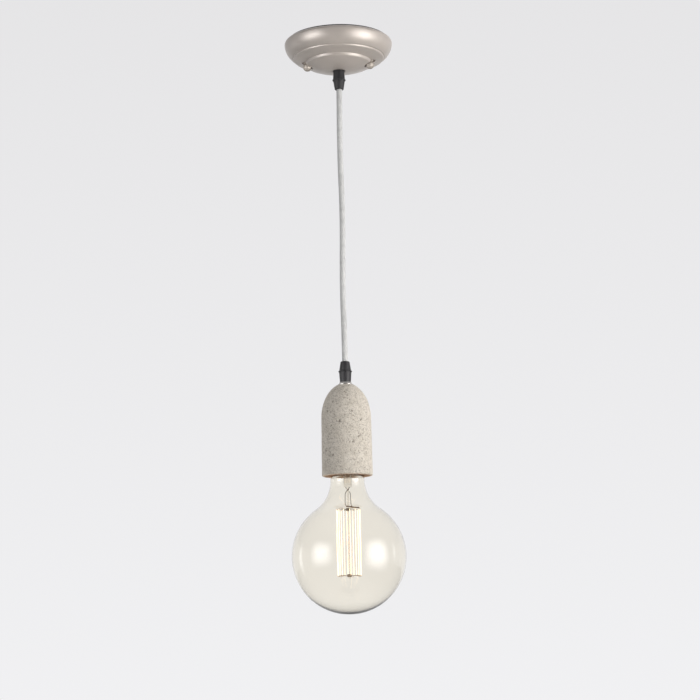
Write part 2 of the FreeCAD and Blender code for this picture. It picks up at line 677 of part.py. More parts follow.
def make_holder_skirt():
    """Lower half of the lampholder, round the screw shell."""
    top = HOLDER_SPLIT_Z - 0.05
    bore_r = SOCKET_OUTER_R + 0.3
    return turned(
        (CORE_R + 0.3, top), (HOLDER_R, top), (HOLDER_R, top - 2.0), (HOLDER_R - 0.8, top - 2.8),
        (HOLDER_R - 0.8, HOLDER_BOTTOM_Z + 1), (HOLDER_R - 1.6, HOLDER_BOTTOM_Z),
        (bore_r, HOLDER_BOTTOM_Z), (bore_r, CORE_BOTTOM_Z - 0.1), (CORE_R + 0.3, CORE_BOTTOM_Z - 0.1))


def make_screw_shell():
    """Threaded brass shell of the lampholder, with an inner flange at its top."""
    wall_top = SOCKET_TOP_Z - SOCKET_FLANGE_T
    bottom = HOLDER_BOTTOM_Z + 1.0
    shell = ring(SOCKET_OUTER_R, SOCKET_BORE_R, wall_top, bottom)
    shell = shell.fuse(ring(SOCKET_OUTER_R, 10.0, SOCKET_TOP_Z, wall_top))
    groove = thread(SOCKET_MAJOR_R, SOCKET_BORE_R, SOCKET_BORE_R - 0.3, 1.2,
                    bottom - SCREW_PITCH, SOCKET_THREAD_TOP_Z)
    return shell.cut(groove).removeSplitter()


def make_centre_contact():
    """Sprung brass strip above the bulb's tip."""
    top = CORE_BOTTOM_Z - 0.02
    strip = box((0, HOLDER_TERMINAL_X + 1.5), (-2.5, 2.5), (top - CONTACT_T, top))
    return strip.fuse(rod(3.6, top, top - CONTACT_T)).removeSplitter()


def make_side_contact():
    """Brass tab from the core down to the screw shell's flange."""
    top = CORE_BOTTOM_Z - 0.02
    tab = box((-13.2, -6.5), (-2.5, 2.5), (top - CONTACT_T, top))
    leg = box((-13.2, CONTACT_T - 13.2), (-2.5, 2.5), (SOCKET_TOP_Z, top))
    return tab.fuse(leg).removeSplitter()


def make_holder_leads():
    """Cores from the end of the cord to the holder's terminals."""
    points = [(WIRE_OFFSET, 0, LAMP_TAIL_END_Z), (WIRE_OFFSET, 0, LAMP_TAIL_END_Z - 2.6),
              (HOLDER_TERMINAL_X, 0, LAMP_TAIL_END_Z - 4.6), (HOLDER_TERMINAL_X, 0, CORE_TOP_Z - 2.6)]
    live, _, _ = tube_along(points, WIRE_R)
    return live, mirrored_x(live)


# ---------------------------------------------------------------- bulb
def neck_fillet(bulb_r, neck_r, fillet_r):
    """Where the fillet between the conical neck and the ball touches each of them, and its middle."""
    slope = math.hypot(1, NECK_SLOPE)
    along = (NECK_SLOPE / slope, -1 / slope)
    across = (1 / slope, NECK_SLOPE / slope)
    from_centre = (neck_r + fillet_r * across[0], NECK_Z - BULB_Z + fillet_r * across[1])
    half_b = from_centre[0] * along[0] + from_centre[1] * along[1]
    square = from_centre[0] ** 2 + from_centre[1] ** 2 - (bulb_r + fillet_r) ** 2
    step = -half_b - math.sqrt(half_b ** 2 - square)
    centre = (neck_r + fillet_r * across[0] + step * along[0],
              NECK_Z + fillet_r * across[1] + step * along[1])
    on_neck = (neck_r + step * along[0], NECK_Z + step * along[1])
    reach = bulb_r / (bulb_r + fillet_r)
    on_ball = (centre[0] * reach, BULB_Z + (centre[1] - BULB_Z) * reach)
    middle = ((on_neck[0] + on_ball[0]) / 2 - centre[0], (on_neck[1] + on_ball[1]) / 2 - centre[1])
    stretch = fillet_r / math.hypot(*middle)
    return on_neck, (centre[0] + middle[0] * stretch, centre[1] + middle[1] * stretch), on_ball


def bulb_skin(inset):
    """Solid inside the bulb's outer glass surface, moved inwards by inset."""
    ball_r = BULB_R - inset
    neck_r = NECK_R - inset
    seal_r = SEAL_R - inset
    seal_z = SEAL_Z - inset
    on_neck, middle, on_ball = neck_fillet(ball_r, neck_r, NECK_FILLET_R + inset)
    shoulder_r = neck_r - NECK_SLOPE * (NECK_TOP_Z - NECK_Z)
    side = math.sqrt(0.5) * ball_r
    return turned(
        (0, seal_z), (seal_r, seal_z), (seal_r, SEAL_Z - 3.6),
        ((seal_r + 0.68, SEAL_Z - 6.82), (seal_r + 2.6, SEAL_Z - 9.5)),
        ((seal_r + 5.4, SEAL_Z - 12.5), (shoulder_r, NECK_TOP_Z)), on_neck, (middle, on_ball),
        ((ball_r * math.cos(math.radians(5)), BULB_Z + ball_r * math.sin(math.radians(5))),
         (side, BULB_Z - side)),
        ((ball_r * math.sin(math.radians(20)), BULB_Z - ball_r * math.cos(math.radians(20))),
         (0, BULB_Z - ball_r)))


def make_bulb_envelope():
    """Blown glass globe with its neck, open above where the stem is sealed in."""
    shell = bulb_skin(0).cut(bulb_skin(GLASS_T))
    return shell.cut(rod(SEAL_R - GLASS_T, SEAL_Z + 0.4, SEAL_Z - 1.2))


def make_bulb_cap():
    """Thin screw cap with its flared skirt."""
    wall = SCREW_ROOT_R - CAP_INNER_R
    shell = turned(
        (CAP_TOP_R, CAP_TOP_Z), (SCREW_ROOT_R, CAP_SHOULDER_Z), (SCREW_ROOT_R, CAP_THREAD_END_Z),
        (CAP_SKIRT_R, CAP_RIM_Z + 0.6), (CAP_SKIRT_R, CAP_RIM_Z),
        (CAP_SKIRT_R - wall, CAP_RIM_Z), (CAP_INNER_R, CAP_THREAD_END_Z),
        (CAP_INNER_R, CAP_SHOULDER_Z - wall), (CAP_TOP_R, CAP_TOP_Z - wall))
    ridge = thread(SCREW_MAJOR_R, SCREW_ROOT_R, SCREW_ROOT_R - 0.25, 0.95,
                   CAP_THREAD_END_Z + 1.0, CAP_SHOULDER_Z - 1.2)
    return shell.fuse(ridge).removeSplitter()


def make_bulb_insulator():
    """Black glass between the cap and its tip contact."""
    outer_r = CAP_TOP_R - 0.1
    bottom = CAP_TOP_Z - 1.6
    return turned((0, INSULATOR_TOP_Z), (4.9, INSULATOR_TOP_Z), (outer_r, CAP_TOP_Z), (outer_r, bottom),
                  (0, bottom))


def make_end_contact():
    """Round solder contact at the bulb's tip."""
    foot = INSULATOR_TOP_Z + 0.05
    return turned((0, CONTACT_TOP_Z), ((2.5, CONTACT_TOP_Z - 0.34), (4.7, foot)), (0, foot))


def make_bulb_stem():
    """Glass flare, tube and flattened pinch."""
    top = STEM_TOP_Z
    flare_r = SEAL_R - GLASS_T - 0.1
    bore_r = STEM_R - 0.9
    stem = turned((0, top), (flare_r, top), (flare_r, top - 1.0), ((6.2, top - 3.0), (STEM_R, top - 7.4)),
                  (STEM_R, STEM_END_Z), (0, STEM_END_Z))
    hollow = turned((0, top + 0.6), (flare_r - 2.2, top + 0.6), ((5.2, top - 2.4), (bore_r, top - 6.6)),
                    (bore_r, STEM_END_Z + 1.5), (0, STEM_END_Z + 1.5))
    pinch = box((-STEM_R, STEM_R), (-1.6, 1.6), (PINCH_END_Z, STEM_END_Z))
    pinch = pinch.makeFillet(1.2, [e for e in pinch.Edges if abs(e.tangentAt(e.FirstParameter).z) > 0.9])
    bulk = stem.cut(hollow).fuse(pinch)
    return bulk.removeSplitter()


def cage_point(index, z):
    turn = 2 * math.pi * (index + 0.5) / CAGE_RUNS + CAGE_TURN
    return (CAGE_R * math.cos(turn), CAGE_R * math.sin(turn), z)


def make_filament():
    """Cage filament: one wire that runs up and down between the two spiders."""
    points = []
    for index in range(CAGE_RUNS):
        ends = [cage_point(index, CAGE_TOP_Z), cage_point(index, CAGE_BOTTOM_Z)]
        if index % 2:
            ends.reverse()
        points.extend(ends)
    wire, _, _ = tube_along(points, FILAMENT_R)
    return wire


def make_spider(z, hooks):
    """Hub on the arbor with fine wires out to the filament's bends."""
    spider = rod(HUB_R, z + HUB_HALF_H, z - HUB_HALF_H)
    for index in hooks:
        turn = 2 * math.pi * index / CAGE_RUNS + CAGE_TURN
        bend_r = CAGE_R * math.cos(math.pi / CAGE_RUNS) - FILAMENT_R - 0.25
        arm = Part.makeCylinder(0.22, bend_r, Vector(0, 0, z), Vector(math.cos(turn), math.sin(turn), 0))
        spider = spider.fuse(arm)
    return spider.cut(rod(ARBOR_R + 0.02, z + 2 * HUB_HALF_H, z - 2 * HUB_HALF_H)).removeSplitter()


def make_bulb_leads():
    """Two wires that cross below the pinch, follow the arbor and turn out to the filament's ends."""
    start = PINCH_END_Z - 0.26
    outer = [cage_point(0, CAGE_TOP_Z + 0.7), cage_point(CAGE_RUNS - 1, CAGE_TOP_Z + 0.7)]
    routes = [
        [(-2.6, 0.6, start), (0, 2.1, start - 3.2), (2.8, 1.7, start - 6.5),
         (3.1, 1.8, CAGE_TOP_Z + 4.6), (3.6, 2.0, CAGE_TOP_Z + 1.6), outer[0]],
        [(2.6, -0.6, start), (0, -2.1, start - 3.2), (-2.8, -1.7, start - 6.5),
         (-3.1, -1.8, CAGE_TOP_Z + 5.0), (-2.4, -2.4, CAGE_TOP_Z + 2.0), outer[1]],
    ]
    leads = []
    for route in routes:
        lead, _, _ = tube_along(route, 0.35)
        leads.append(lead)
    return group(leads)


# ---------------------------------------------------------------- build and write
save("mounting_bracket", make_bracket())
save("canopy_studs", make_studs())
save("stud_locknuts", make_stud_locknuts())
save("ground_screw", make_ground_screw())
save("earth_eyelet", make_earth_eyelet())
save("terminal_block", make_terminal_block())
save("terminal_inserts", make_terminal_inserts())
save("terminal_screws", make_terminal_screws())
live_lead, neutral_lead, earth_lead = make_canopy_leads()
save("live_lead", live_lead)
save("neutral_lead", neutral_lead)
save("earth_lead", earth_lead)
save("ceiling_gasket", ring(GASKET_R[1], GASKET_R[0], 0, -GASKET_T))
save("canopy", make_canopy())
for side, stud_x in (("left", -STUD_X), ("right", STUD_X)):
    save("nut_washer_" + side, make_nut_washer(stud_x))
    save("ball_nut_" + side, make_ball_nut(stud_x))

inside_z = CENTRE_SEAT_Z + SHEET
nipple_end_z = CENTRE_SEAT_Z - GRIP_THREAD_DEPTH + 0.2
save("canopy_nipple", ring(NIPPLE_R, NIPPLE_BORE_R, CANOPY_NIPPLE_TOP_Z, nipple_end_z))
save("nipple_washer", toothed_washer(NIPPLE_WASHER_R, NIPPLE_HOLE_R, inside_z + WASHER_T, inside_z))
save("nipple_nut", hex_nut(NIPPLE_NUT_AF, inside_z + WASHER_T + NIPPLE_NUT_H, inside_z + WASHER_T,
                           NIPPLE_R + 0.05))

save("upper_grip_base", hung_below(make_grip_base(), CENTRE_SEAT_Z))
save("upper_grip_collet", hung_below(make_grip_collet(), CENTRE_SEAT_Z))
save("upper_grip_nose", hung_below(make_grip_nose(), CENTRE_SEAT_Z))
first_pivot = Vector(*CORD_ROUTE[0])
canopy_tail = rod(CORD_R, CANOPY_TAIL_TOP_Z, first_pivot.z)
save("canopy_cord_tail", canopy_tail.cut(Part.makeSphere(CORD_R + PIVOT_GAP, first_pivot)))

cord_top, cord_main = make_cord_pieces()
save("cord_top", cord_top)
save("cord", cord_main)

save("lower_grip_base", moved(make_grip_base(), z=LOWER_GRIP_BASE_Z))
save("lower_grip_collet", moved(make_grip_collet(), z=LOWER_GRIP_BASE_Z))
save("lower_grip_nose", moved(make_grip_nose(), z=LOWER_GRIP_BASE_Z))
save("lamp_cord_tail", rod(CORD_R, CORD_END_Z, LAMP_TAIL_END_Z))
save("shell_collar", make_shell_collar())
save("concrete_shell", make_concrete_shell())
save("lamp_nipple", ring(NIPPLE_R, NIPPLE_BORE_R, LOWER_GRIP_BASE_Z + GRIP_THREAD_DEPTH - 0.2,
                         LAMP_NIPPLE_END_Z))
washer_bottom = SHELL_CAVITY_SEAT_Z - WASHER_T
save("shell_washer", ring(NIPPLE_WASHER_R, NIPPLE_HOLE_R, SHELL_CAVITY_SEAT_Z, washer_bottom))
save("shell_locknut", hex_nut(NIPPLE_NUT_AF, washer_bottom, washer_bottom - NIPPLE_NUT_H, NIPPLE_R + 0.05))

save("lampholder_cap", make_holder_cap())
save("lampholder_core", make_holder_core())
save("lampholder_skirt", make_holder_skirt())
save("holder_screws", make_holder_screws())
save("screw_shell", make_screw_shell())
save("centre_contact", make_centre_contact())
save("side_contact", make_side_contact())
holder_live, holder_neutral = make_holder_leads()
save("holder_live_lead", holder_live)
save("holder_neutral_lead", holder_neutral)

save("bulb_end_contact", make_end_contact())
save("bulb_cap", make_bulb_cap())
save("bulb_cap_insulator", make_bulb_insulator())
save("bulb_envelope", make_bulb_envelope())
save("bulb_stem", make_bulb_stem())
save("bulb_arbor", rod(ARBOR_R, PINCH_END_Z - 0.02, CAGE_BOTTOM_Z - 3.0))
save("bulb_upper_spider", make_spider(CAGE_TOP_Z - SPIDER_INSET, range(2, CAGE_RUNS, 2)))
save("bulb_lower_spider", make_spider(CAGE_BOTTOM_Z + SPIDER_INSET, range(1, CAGE_RUNS, 2)))
save("bulb_filament", make_filament())
save("bulb_lead_wires", make_bulb_leads())
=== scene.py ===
import math

import bmesh
import bpy
import numpy as np
from mathutils import Matrix, Vector, noise


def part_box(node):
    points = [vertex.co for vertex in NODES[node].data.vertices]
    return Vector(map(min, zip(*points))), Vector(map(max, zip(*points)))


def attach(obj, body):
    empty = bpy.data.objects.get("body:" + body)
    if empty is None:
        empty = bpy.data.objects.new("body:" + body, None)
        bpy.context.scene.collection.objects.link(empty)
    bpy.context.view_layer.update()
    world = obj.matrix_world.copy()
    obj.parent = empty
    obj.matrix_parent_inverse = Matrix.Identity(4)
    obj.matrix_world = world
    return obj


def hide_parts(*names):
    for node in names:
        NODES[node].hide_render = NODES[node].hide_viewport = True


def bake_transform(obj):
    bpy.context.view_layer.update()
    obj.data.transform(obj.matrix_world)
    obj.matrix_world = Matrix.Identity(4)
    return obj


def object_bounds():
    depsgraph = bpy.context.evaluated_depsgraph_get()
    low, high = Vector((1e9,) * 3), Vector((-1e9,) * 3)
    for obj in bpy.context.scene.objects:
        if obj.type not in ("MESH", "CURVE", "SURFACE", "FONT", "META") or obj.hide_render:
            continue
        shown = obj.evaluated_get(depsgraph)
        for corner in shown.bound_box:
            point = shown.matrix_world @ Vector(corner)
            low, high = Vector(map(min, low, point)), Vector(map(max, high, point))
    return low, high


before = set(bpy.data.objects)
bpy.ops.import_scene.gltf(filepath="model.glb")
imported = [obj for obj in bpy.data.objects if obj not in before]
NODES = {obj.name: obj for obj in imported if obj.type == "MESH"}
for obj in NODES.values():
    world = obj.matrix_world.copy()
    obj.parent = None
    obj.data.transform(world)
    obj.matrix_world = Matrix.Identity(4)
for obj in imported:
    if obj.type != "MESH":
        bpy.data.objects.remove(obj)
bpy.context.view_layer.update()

lamp_low, lamp_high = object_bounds()
MM = 0.001
ON_AXIS = 1e-9

# camera, seen from the front and a little below
CAMERA_TURN = math.radians(3.6)
CAMERA_TILT = math.radians(9.5)
CAMERA_ROLL = math.radians(-1.25)
CAMERA_DISTANCE = 2.052
CAMERA_HEIGHT = -0.7005
CAMERA_SIDE = 0.0058
LENS_MM = 96.7
SENSOR_MM = 36.0

# hanging cord: the route's points are the control points of its smooth line
CORD_ROUTE = [
    (0.0, 0.0, -0.0602),
    (-0.0010, 0.0, -0.1280),
    (0.0010, 0.0, -0.2050),
    (-0.0011, 0.0, -0.2830),
    (0.0, 0.0, -0.3400),
    (0.0, 0.0, -0.3720),
]
CORD_DIAMETER = 0.0065
BRAID_STRANDS = 12          # bundles of yarn in each of the braid's two directions
BRAID_RELIEF = 0.00016
CORD_STEPS = 210            # rings along the cord between two points of its route
CORD_AROUND = 64            # points round the cord
STUB_STEPS = 120
STUB_AROUND = 48
END_RINGS = 6               # rings in the domed head of the cord and in the cup it sits in


# ---------------------------------------------------------------- camera
def make_camera():
    data = bpy.data.cameras.new("camera")
    data.lens = LENS_MM
    data.sensor_width = SENSOR_MM
    data.clip_start = 0.05
    data.clip_end = 60.0
    camera = bpy.data.objects.new("camera", data)
    bpy.context.scene.collection.objects.link(camera)
    across = Vector((math.cos(CAMERA_TURN), math.sin(CAMERA_TURN), 0))
    back = Vector((math.sin(CAMERA_TURN), -math.cos(CAMERA_TURN), 0))
    camera.location = back * CAMERA_DISTANCE + across * CAMERA_SIDE + Vector((0, 0, CAMERA_HEIGHT))
    turn = Matrix.Rotation(CAMERA_TURN, 4, "Z") @ Matrix.Rotation(math.pi / 2 + CAMERA_TILT, 4, "X")
    turn = turn @ Matrix.Rotation(CAMERA_ROLL, 4, "Z")
    camera.rotation_euler = turn.to_euler()
    bpy.context.scene.camera = camera


# ---------------------------------------------------------------- mesh helpers
def new_piece(name, points, faces, sharp_deg=35):
    """Smooth-shaded mesh object with its normals outwards."""
    mesh = bpy.data.meshes.new(name)
    mesh.from_pydata([tuple(p) for p in points], [], faces)
    built = bmesh.new()
    built.from_mesh(mesh)
    bmesh.ops.recalc_face_normals(built, faces=built.faces)
    built.to_mesh(mesh)
    built.free()
    mesh.polygons.foreach_set("use_smooth", [True] * len(mesh.polygons))
    mesh.set_sharp_from_angle(angle=math.radians(sharp_deg))
    piece = bpy.data.objects.new(name, mesh)
    bpy.context.scene.collection.objects.link(piece)
    return piece


def tube_faces(rings, around):
    """Quads between rings of points, and a flat face on each end."""
    faces = []
    for ring in range(rings - 1):
        low = ring * around
        high = low + around
        for i in range(around):
            j = (i + 1) % around
            faces.append((low + i, low + j, high + j, high + i))
    last = (rings - 1) * around
    faces.append(tuple(range(around)))
    faces.append(tuple(range(last, last + around)))
    return faces


def turned(name, outline, segments, sharp_deg):
    """Turns a closed outline of (radius, height) points about the Z axis. Points on the axis stay single."""
    turns = [2 * math.pi * i / segments for i in range(segments)]
    circle = [(math.cos(t), math.sin(t)) for t in turns]
    points = []
    faces = []
    rows = []
    for radius, height in outline:
        if radius < ON_AXIS:
            rows.append([len(points)])
            points.append((0.0, 0.0, height))
            continue
        rows.append(list(range(len(points), len(points) + segments)))
        points.extend((radius * x, radius * y, height) for x, y in circle)
    for low, high in zip(rows, rows[1:] + rows[:1]):
        for i in range(segments):
            j = (i + 1) % segments
            corners = []
            around = (low[i % len(low)], low[j % len(low)], high[j % len(high)], high[i % len(high)])
            for corner in around:
                if corner not in corners:
                    corners.append(corner)
            if len(corners) > 2:
                faces.append(corners)
    return new_piece(name, points, faces, sharp_deg)


def arc(centre, radius, start_deg, end_deg, steps):
    """Points of an arc in the outline's plane, both ends included."""
    found = []
    for i in range(steps + 1):
        a = math.radians(start_deg + (end_deg - start_deg) * i / steps)
        found.append((centre[0] + radius * math.cos(a), centre[1] + radius * math.sin(a)))
    return found


def smooth_path(route, steps):
    """Points of the NURBS curve that has the route as its control points."""
    curve = bpy.data.curves.new("route", "CURVE")
    curve.dimensions = "3D"
    spline = curve.splines.new("NURBS")
    spline.points.add(len(route) - 1)
    for point, place in zip(spline.points, route):
        point.co = (*place, 1.0)
    spline.order_u = 3
    spline.use_endpoint_u = True
    spline.resolution_u = steps
    holder = bpy.data.objects.new("route", curve)
    line = bpy.data.meshes.new_from_object(holder)
    points = [v.co.copy() for v in line.vertices]
    bpy.data.objects.remove(holder)
    bpy.data.curves.remove(curve)
    bpy.data.meshes.remove(line)
    return points


def frames_along(path):
    """A side and an upright direction at each point of a path, without twist."""
    count = len(path)
    headings = []
    for i in range(count):
        ahead = path[min(i + 1, count - 1)] - path[max(i - 1, 0)]
        headings.append(ahead.normalized())
    side = headings[0].orthogonal().normalized()
    found = []
    for heading in headings:
        side = (side - heading * side.dot(heading)).normalized()
        found.append((side, heading.cross(side)))
    return found


# ---------------------------------------------------------------- cord
def braid_height(turn, along, radius):
    """Height of a one-over-one braid, from 0 in its valleys to 1 on a bundle's back."""
    pitch = 2 * math.pi * radius / BRAID_STRANDS
    right = BRAID_STRANDS * turn + along / pitch
    left = BRAID_STRANDS * turn - along / pitch
    over = (math.floor(right) + math.floor(left)) % 2
    across, lengthwise = (right % 1.0, left % 1.0) if over else (left % 1.0, right % 1.0)
    rounded = math.sqrt(max(0.0, 1 - (2 * across - 1) ** 2))
    return rounded * (0.55 + 0.45 * math.sin(math.pi * lengthwise))


def braided_tube(name, path, around, dome_start=False, cup_r=None):
    """Braided sleeve along a path. It can start with a dome and end with a cup; its UV map holds the turn and
    the distance along it."""
    radius = CORD_DIAMETER / 2 - BRAID_RELIEF
    rings = []
    along = 0.0
    frames = frames_along(path)
    if dome_start:
        heading = (path[1] - path[0]).normalized()
        for step in range(1, END_RINGS + 1):
            angle = math.radians(90 * step / (END_RINGS + 1))
            back = path[0] - heading * CORD_DIAMETER / 2 * math.cos(angle)
            rings.append((back, frames[0], math.sin(angle), along))
    for i, point in enumerate(path):
        if i:
            along += (point - path[i - 1]).length
        rings.append((point, frames[i], 1.0, along))
    if cup_r:
        rim = math.asin(CORD_DIAMETER / 2 / cup_r)
        for step in range(1, END_RINGS + 1):
            angle = rim * (1 - step / (END_RINGS + 1))
            up = Vector((0, 0, cup_r * (math.cos(angle) - math.cos(rim))))
            rings.append((path[-1] + up, frames[-1], 2 * cup_r * math.sin(angle) / CORD_DIAMETER, along))
    points = []
    for centre, (side, upright), share, distance in rings:
        for i in range(around):
            turn = i / around
            reach = (radius + BRAID_RELIEF * braid_height(turn, distance, radius)) * share
            angle = 2 * math.pi * turn
            points.append(centre + side * reach * math.cos(angle) + upright * reach * math.sin(angle))
    piece = new_piece(name, points, tube_faces(len(rings), around), 70)
    uv = piece.data.uv_layers.new(name="UVMap")
    for polygon in piece.data.polygons:
        if polygon.loop_total != 4:
            continue
        vertices = [piece.data.loops[loop].vertex_index for loop in polygon.loop_indices]
        seam = {v % around for v in vertices} == {0, around - 1}
        for loop, vertex in zip(polygon.loop_indices, vertices):
            column = vertex % around
            if seam and column == 0:
                column = around
            uv.data[loop].uv = (column / around, rings[vertex // around][3])
    return piece


def make_cord():
    path = smooth_path(CORD_ROUTE, CORD_STEPS)
    cord = braided_tube("braided_cord", path, CORD_AROUND, dome_start=True)
    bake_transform(cord)
    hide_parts("cord_top", "cord")
    return cord


make_camera()
cord = make_cord()


# ---------------------------------------------------------------- sizes of the shell and the bulb
# concrete shell
SHELL_WALL_R = (0.0275, 0.0280)     # where the dome meets the wall, and at the mouth
SHELL_DOME_Z = -0.433
SHELL_DOME_H = 0.039
SHELL_BORE_R = 0.0188
SHELL_CAVITY_H = 0.026
SHELL_CAVITY_TOP = -0.4098
SHELL_HOLE_R = 0.00525
SHELL_EDGE = 0.0016
# larger blemishes: degrees round the shell from the front, height, width, slant and depth
SHELL_SCARS = [
    (-12, -0.4390, 0.0018, 0.4, 0.0011),
    (39, -0.4380, 0.0013, 0.5, 0.0008),
    (-53, -0.4700, 0.0016, -0.2, 0.0010),
    (33, -0.4560, 0.0016, 1.1, 0.0007),
    (18, -0.4620, 0.0014, 0.9, 0.0007),
    (-45, -0.4270, 0.0011, 0.1, 0.0006),
    (-30, -0.4760, 0.0013, 0.3, 0.0008),
    (95, -0.4450, 0.0018, 0.6, 0.0010),
    (150, -0.4700, 0.0016, -0.3, 0.0009),
    (200, -0.4300, 0.0017, 0.8, 0.0011),
    (250, -0.4600, 0.0014, -0.7, 0.0009),
]
SHELL_INNER_EDGE = 0.0008
SHELL_SEGMENTS = 288
DOME_STEPS = 78
WALL_STEPS = 110
MOUTH_STEPS = 12
BORE_STEPS = 40
CAVITY_STEPS = 14
SHELL_WAVE = 0.00022        # unevenness of the casting
SHELL_GRAIN = 0.00009
SHELL_PLAIN_H = 0.0008      # the top of the dome is left smooth this far down
SHELL_EASE_H = 0.002        # and the relief grows to its full depth over this height
PIT_SEED = 11
PIT_COUNT = 1000
PIT_LEAST_W = 0.00024
PIT_MORE_W = 0.0006         # the widest pit is this much wider than the least
PIT_TOP_Z = -0.3975
PIT_FIELD_H = 0.0985        # pits lie in this height below the top

# bulb
GLASS_T = 0.0007
GLASS_GATHER = 0.0009       # extra thickness of the glass at the bottom of the globe
NECK_R = 0.0197
NECK_Z = -0.5099
NECK_SLOPE = 0.13
NECK_TOP_Z = -0.5040
NECK_FILLET_R = 0.038
SEAL_R = 0.0113
SEAL_Z = -0.4884
CAGE_R = 0.0130
CAGE_RUNS = 12
CAGE_TURN = math.radians(-4)
FILAMENT_R = 0.00025
SEAL_H = 0.0036
# outwards and down from the end of the seal
SHOULDER = [(0.0, 0.0), (0.0003, 0.0024), (0.0028, 0.0042), (0.0060, 0.0058), (0.0079, 0.0080)]
NECK_STEPS = 6
GLOBE_SEGMENTS = 160
WIRE_AROUND = 8
FILAMENT_BOW = 0.0003
# places of a run's control points, from 0 at its top to 1 at its bottom
RUN_POINTS = [0.0, 0.02, 0.05, 0.3, 0.5, 0.7, 0.95, 0.98, 1.0]


# ---------------------------------------------------------------- stage
FLOOR_HALF = 6.0
FLOOR_DROP = 1.1            # height of the hanging lamp above the floor
SOFTBOX_FADE = 0.45         # the light grows over this share of the softbox from each edge inwards
# name, place, width, height, radiance, colour, and whether it lights matt surfaces too
SOFTBOXES = [
    ("key_light", (1.16, -0.66, -0.50), 1.70, 1.70, 6.6, (1.0, 0.985, 0.96), True),
    ("key_glint", (1.18, -0.68, -0.50), 1.70, 1.70, 3.4, (1.0, 1.0, 1.0), False),
    ("fill_light", (-1.25, -0.95, -0.45), 1.80, 1.60, 1.5, (0.97, 0.98, 1.0), True),
    ("fill_glint", (-1.27, -0.97, -0.45), 1.80, 1.60, 6.5, (1.0, 1.0, 1.0), False),
    ("edge_left", (-1.70, 0.55, -0.60), 0.50, 1.40, 2.4, (1.0, 1.0, 1.0), True),
    ("edge_right", (1.75, 0.45, -0.40), 0.36, 0.90, 2.0, (1.0, 1.0, 1.0), True),
]
# where along the world's height from 0 to 1, and the colour there
WORLD_BELOW = (0.34, (0.56, 0.56, 0.55, 1))
WORLD_HORIZON = (0.475, (0.885, 0.885, 0.90, 1))
WORLD_ABOVE = (0.68, (0.785, 0.78, 0.79, 1))
# axis, where it is dimmest, where it is full, and the least share of light
WORLD_DIMMING = [("Y", -0.7, 0.8, 0.55), ("X", -0.95, -0.25, 0.72)]
FILAMENT_WATTS = 0.045
FILAMENT_COLOUR = (1.0, 0.56, 0.24)
FILAMENT_LIGHT_R = 0.012
FILAMENT_LIGHT_Z = -0.565


def make_stage():
    half = FLOOR_HALF
    floor_z = lamp_low.z - FLOOR_DROP
    corners = [(-half, -half, floor_z), (half, -half, floor_z), (half, half, floor_z), (-half, half, floor_z)]
    floor = new_piece("floor", corners, [(0, 1, 2, 3)])
    return floor


def make_softbox(name, place, target, width, height, radiance, colour, lights_matt):
    """Soft rectangular lamp that faces a point, fading towards its edges. Its power follows from its size and
    its radiance. One that lights nothing matt only shines in glass and metal."""
    data = bpy.data.lights.new(name, "AREA")
    data.shape = "RECTANGLE"
    data.size = width
    data.size_y = height
    data.energy = radiance * math.pi * width * height
    data.color = colour
    data.use_nodes = True
    tree = data.node_tree
    place_on = tree.nodes.new("ShaderNodeNewGeometry").outputs["Parametric"]
    split = tree.nodes.new("ShaderNodeSeparateXYZ")
    tree.links.new(place_on, split.inputs[0])
    fades = []
    for axis in ("X", "Y"):
        fold = tree.nodes.new("ShaderNodeMath")
        fold.operation = "PINGPONG"
        fold.inputs[1].default_value = 0.5
        tree.links.new(split.outputs[axis], fold.inputs[0])
        fade = tree.nodes.new("ShaderNodeMapRange")
        fade.interpolation_type = "SMOOTHSTEP"
        fade.inputs["From Max"].default_value = SOFTBOX_FADE
        tree.links.new(fold.outputs[0], fade.inputs["Value"])
        fades.append(fade.outputs["Result"])
    both = tree.nodes.new("ShaderNodeMath")
    both.operation = "MULTIPLY"
    tree.links.new(fades[0], both.inputs[0])
    tree.links.new(fades[1], both.inputs[1])
    tree.links.new(both.outputs[0], tree.nodes["Emission"].inputs["Strength"])
    lamp = bpy.data.objects.new(name, data)
    lamp.location = place
    lamp.rotation_euler = (Vector(target) - Vector(place)).to_track_quat("-Z", "Y").to_euler()
    lamp.visible_camera = False
    lamp.visible_transmission = False
    lamp.visible_diffuse = lights_matt
    bpy.context.scene.collection.objects.link(lamp)
    return lamp


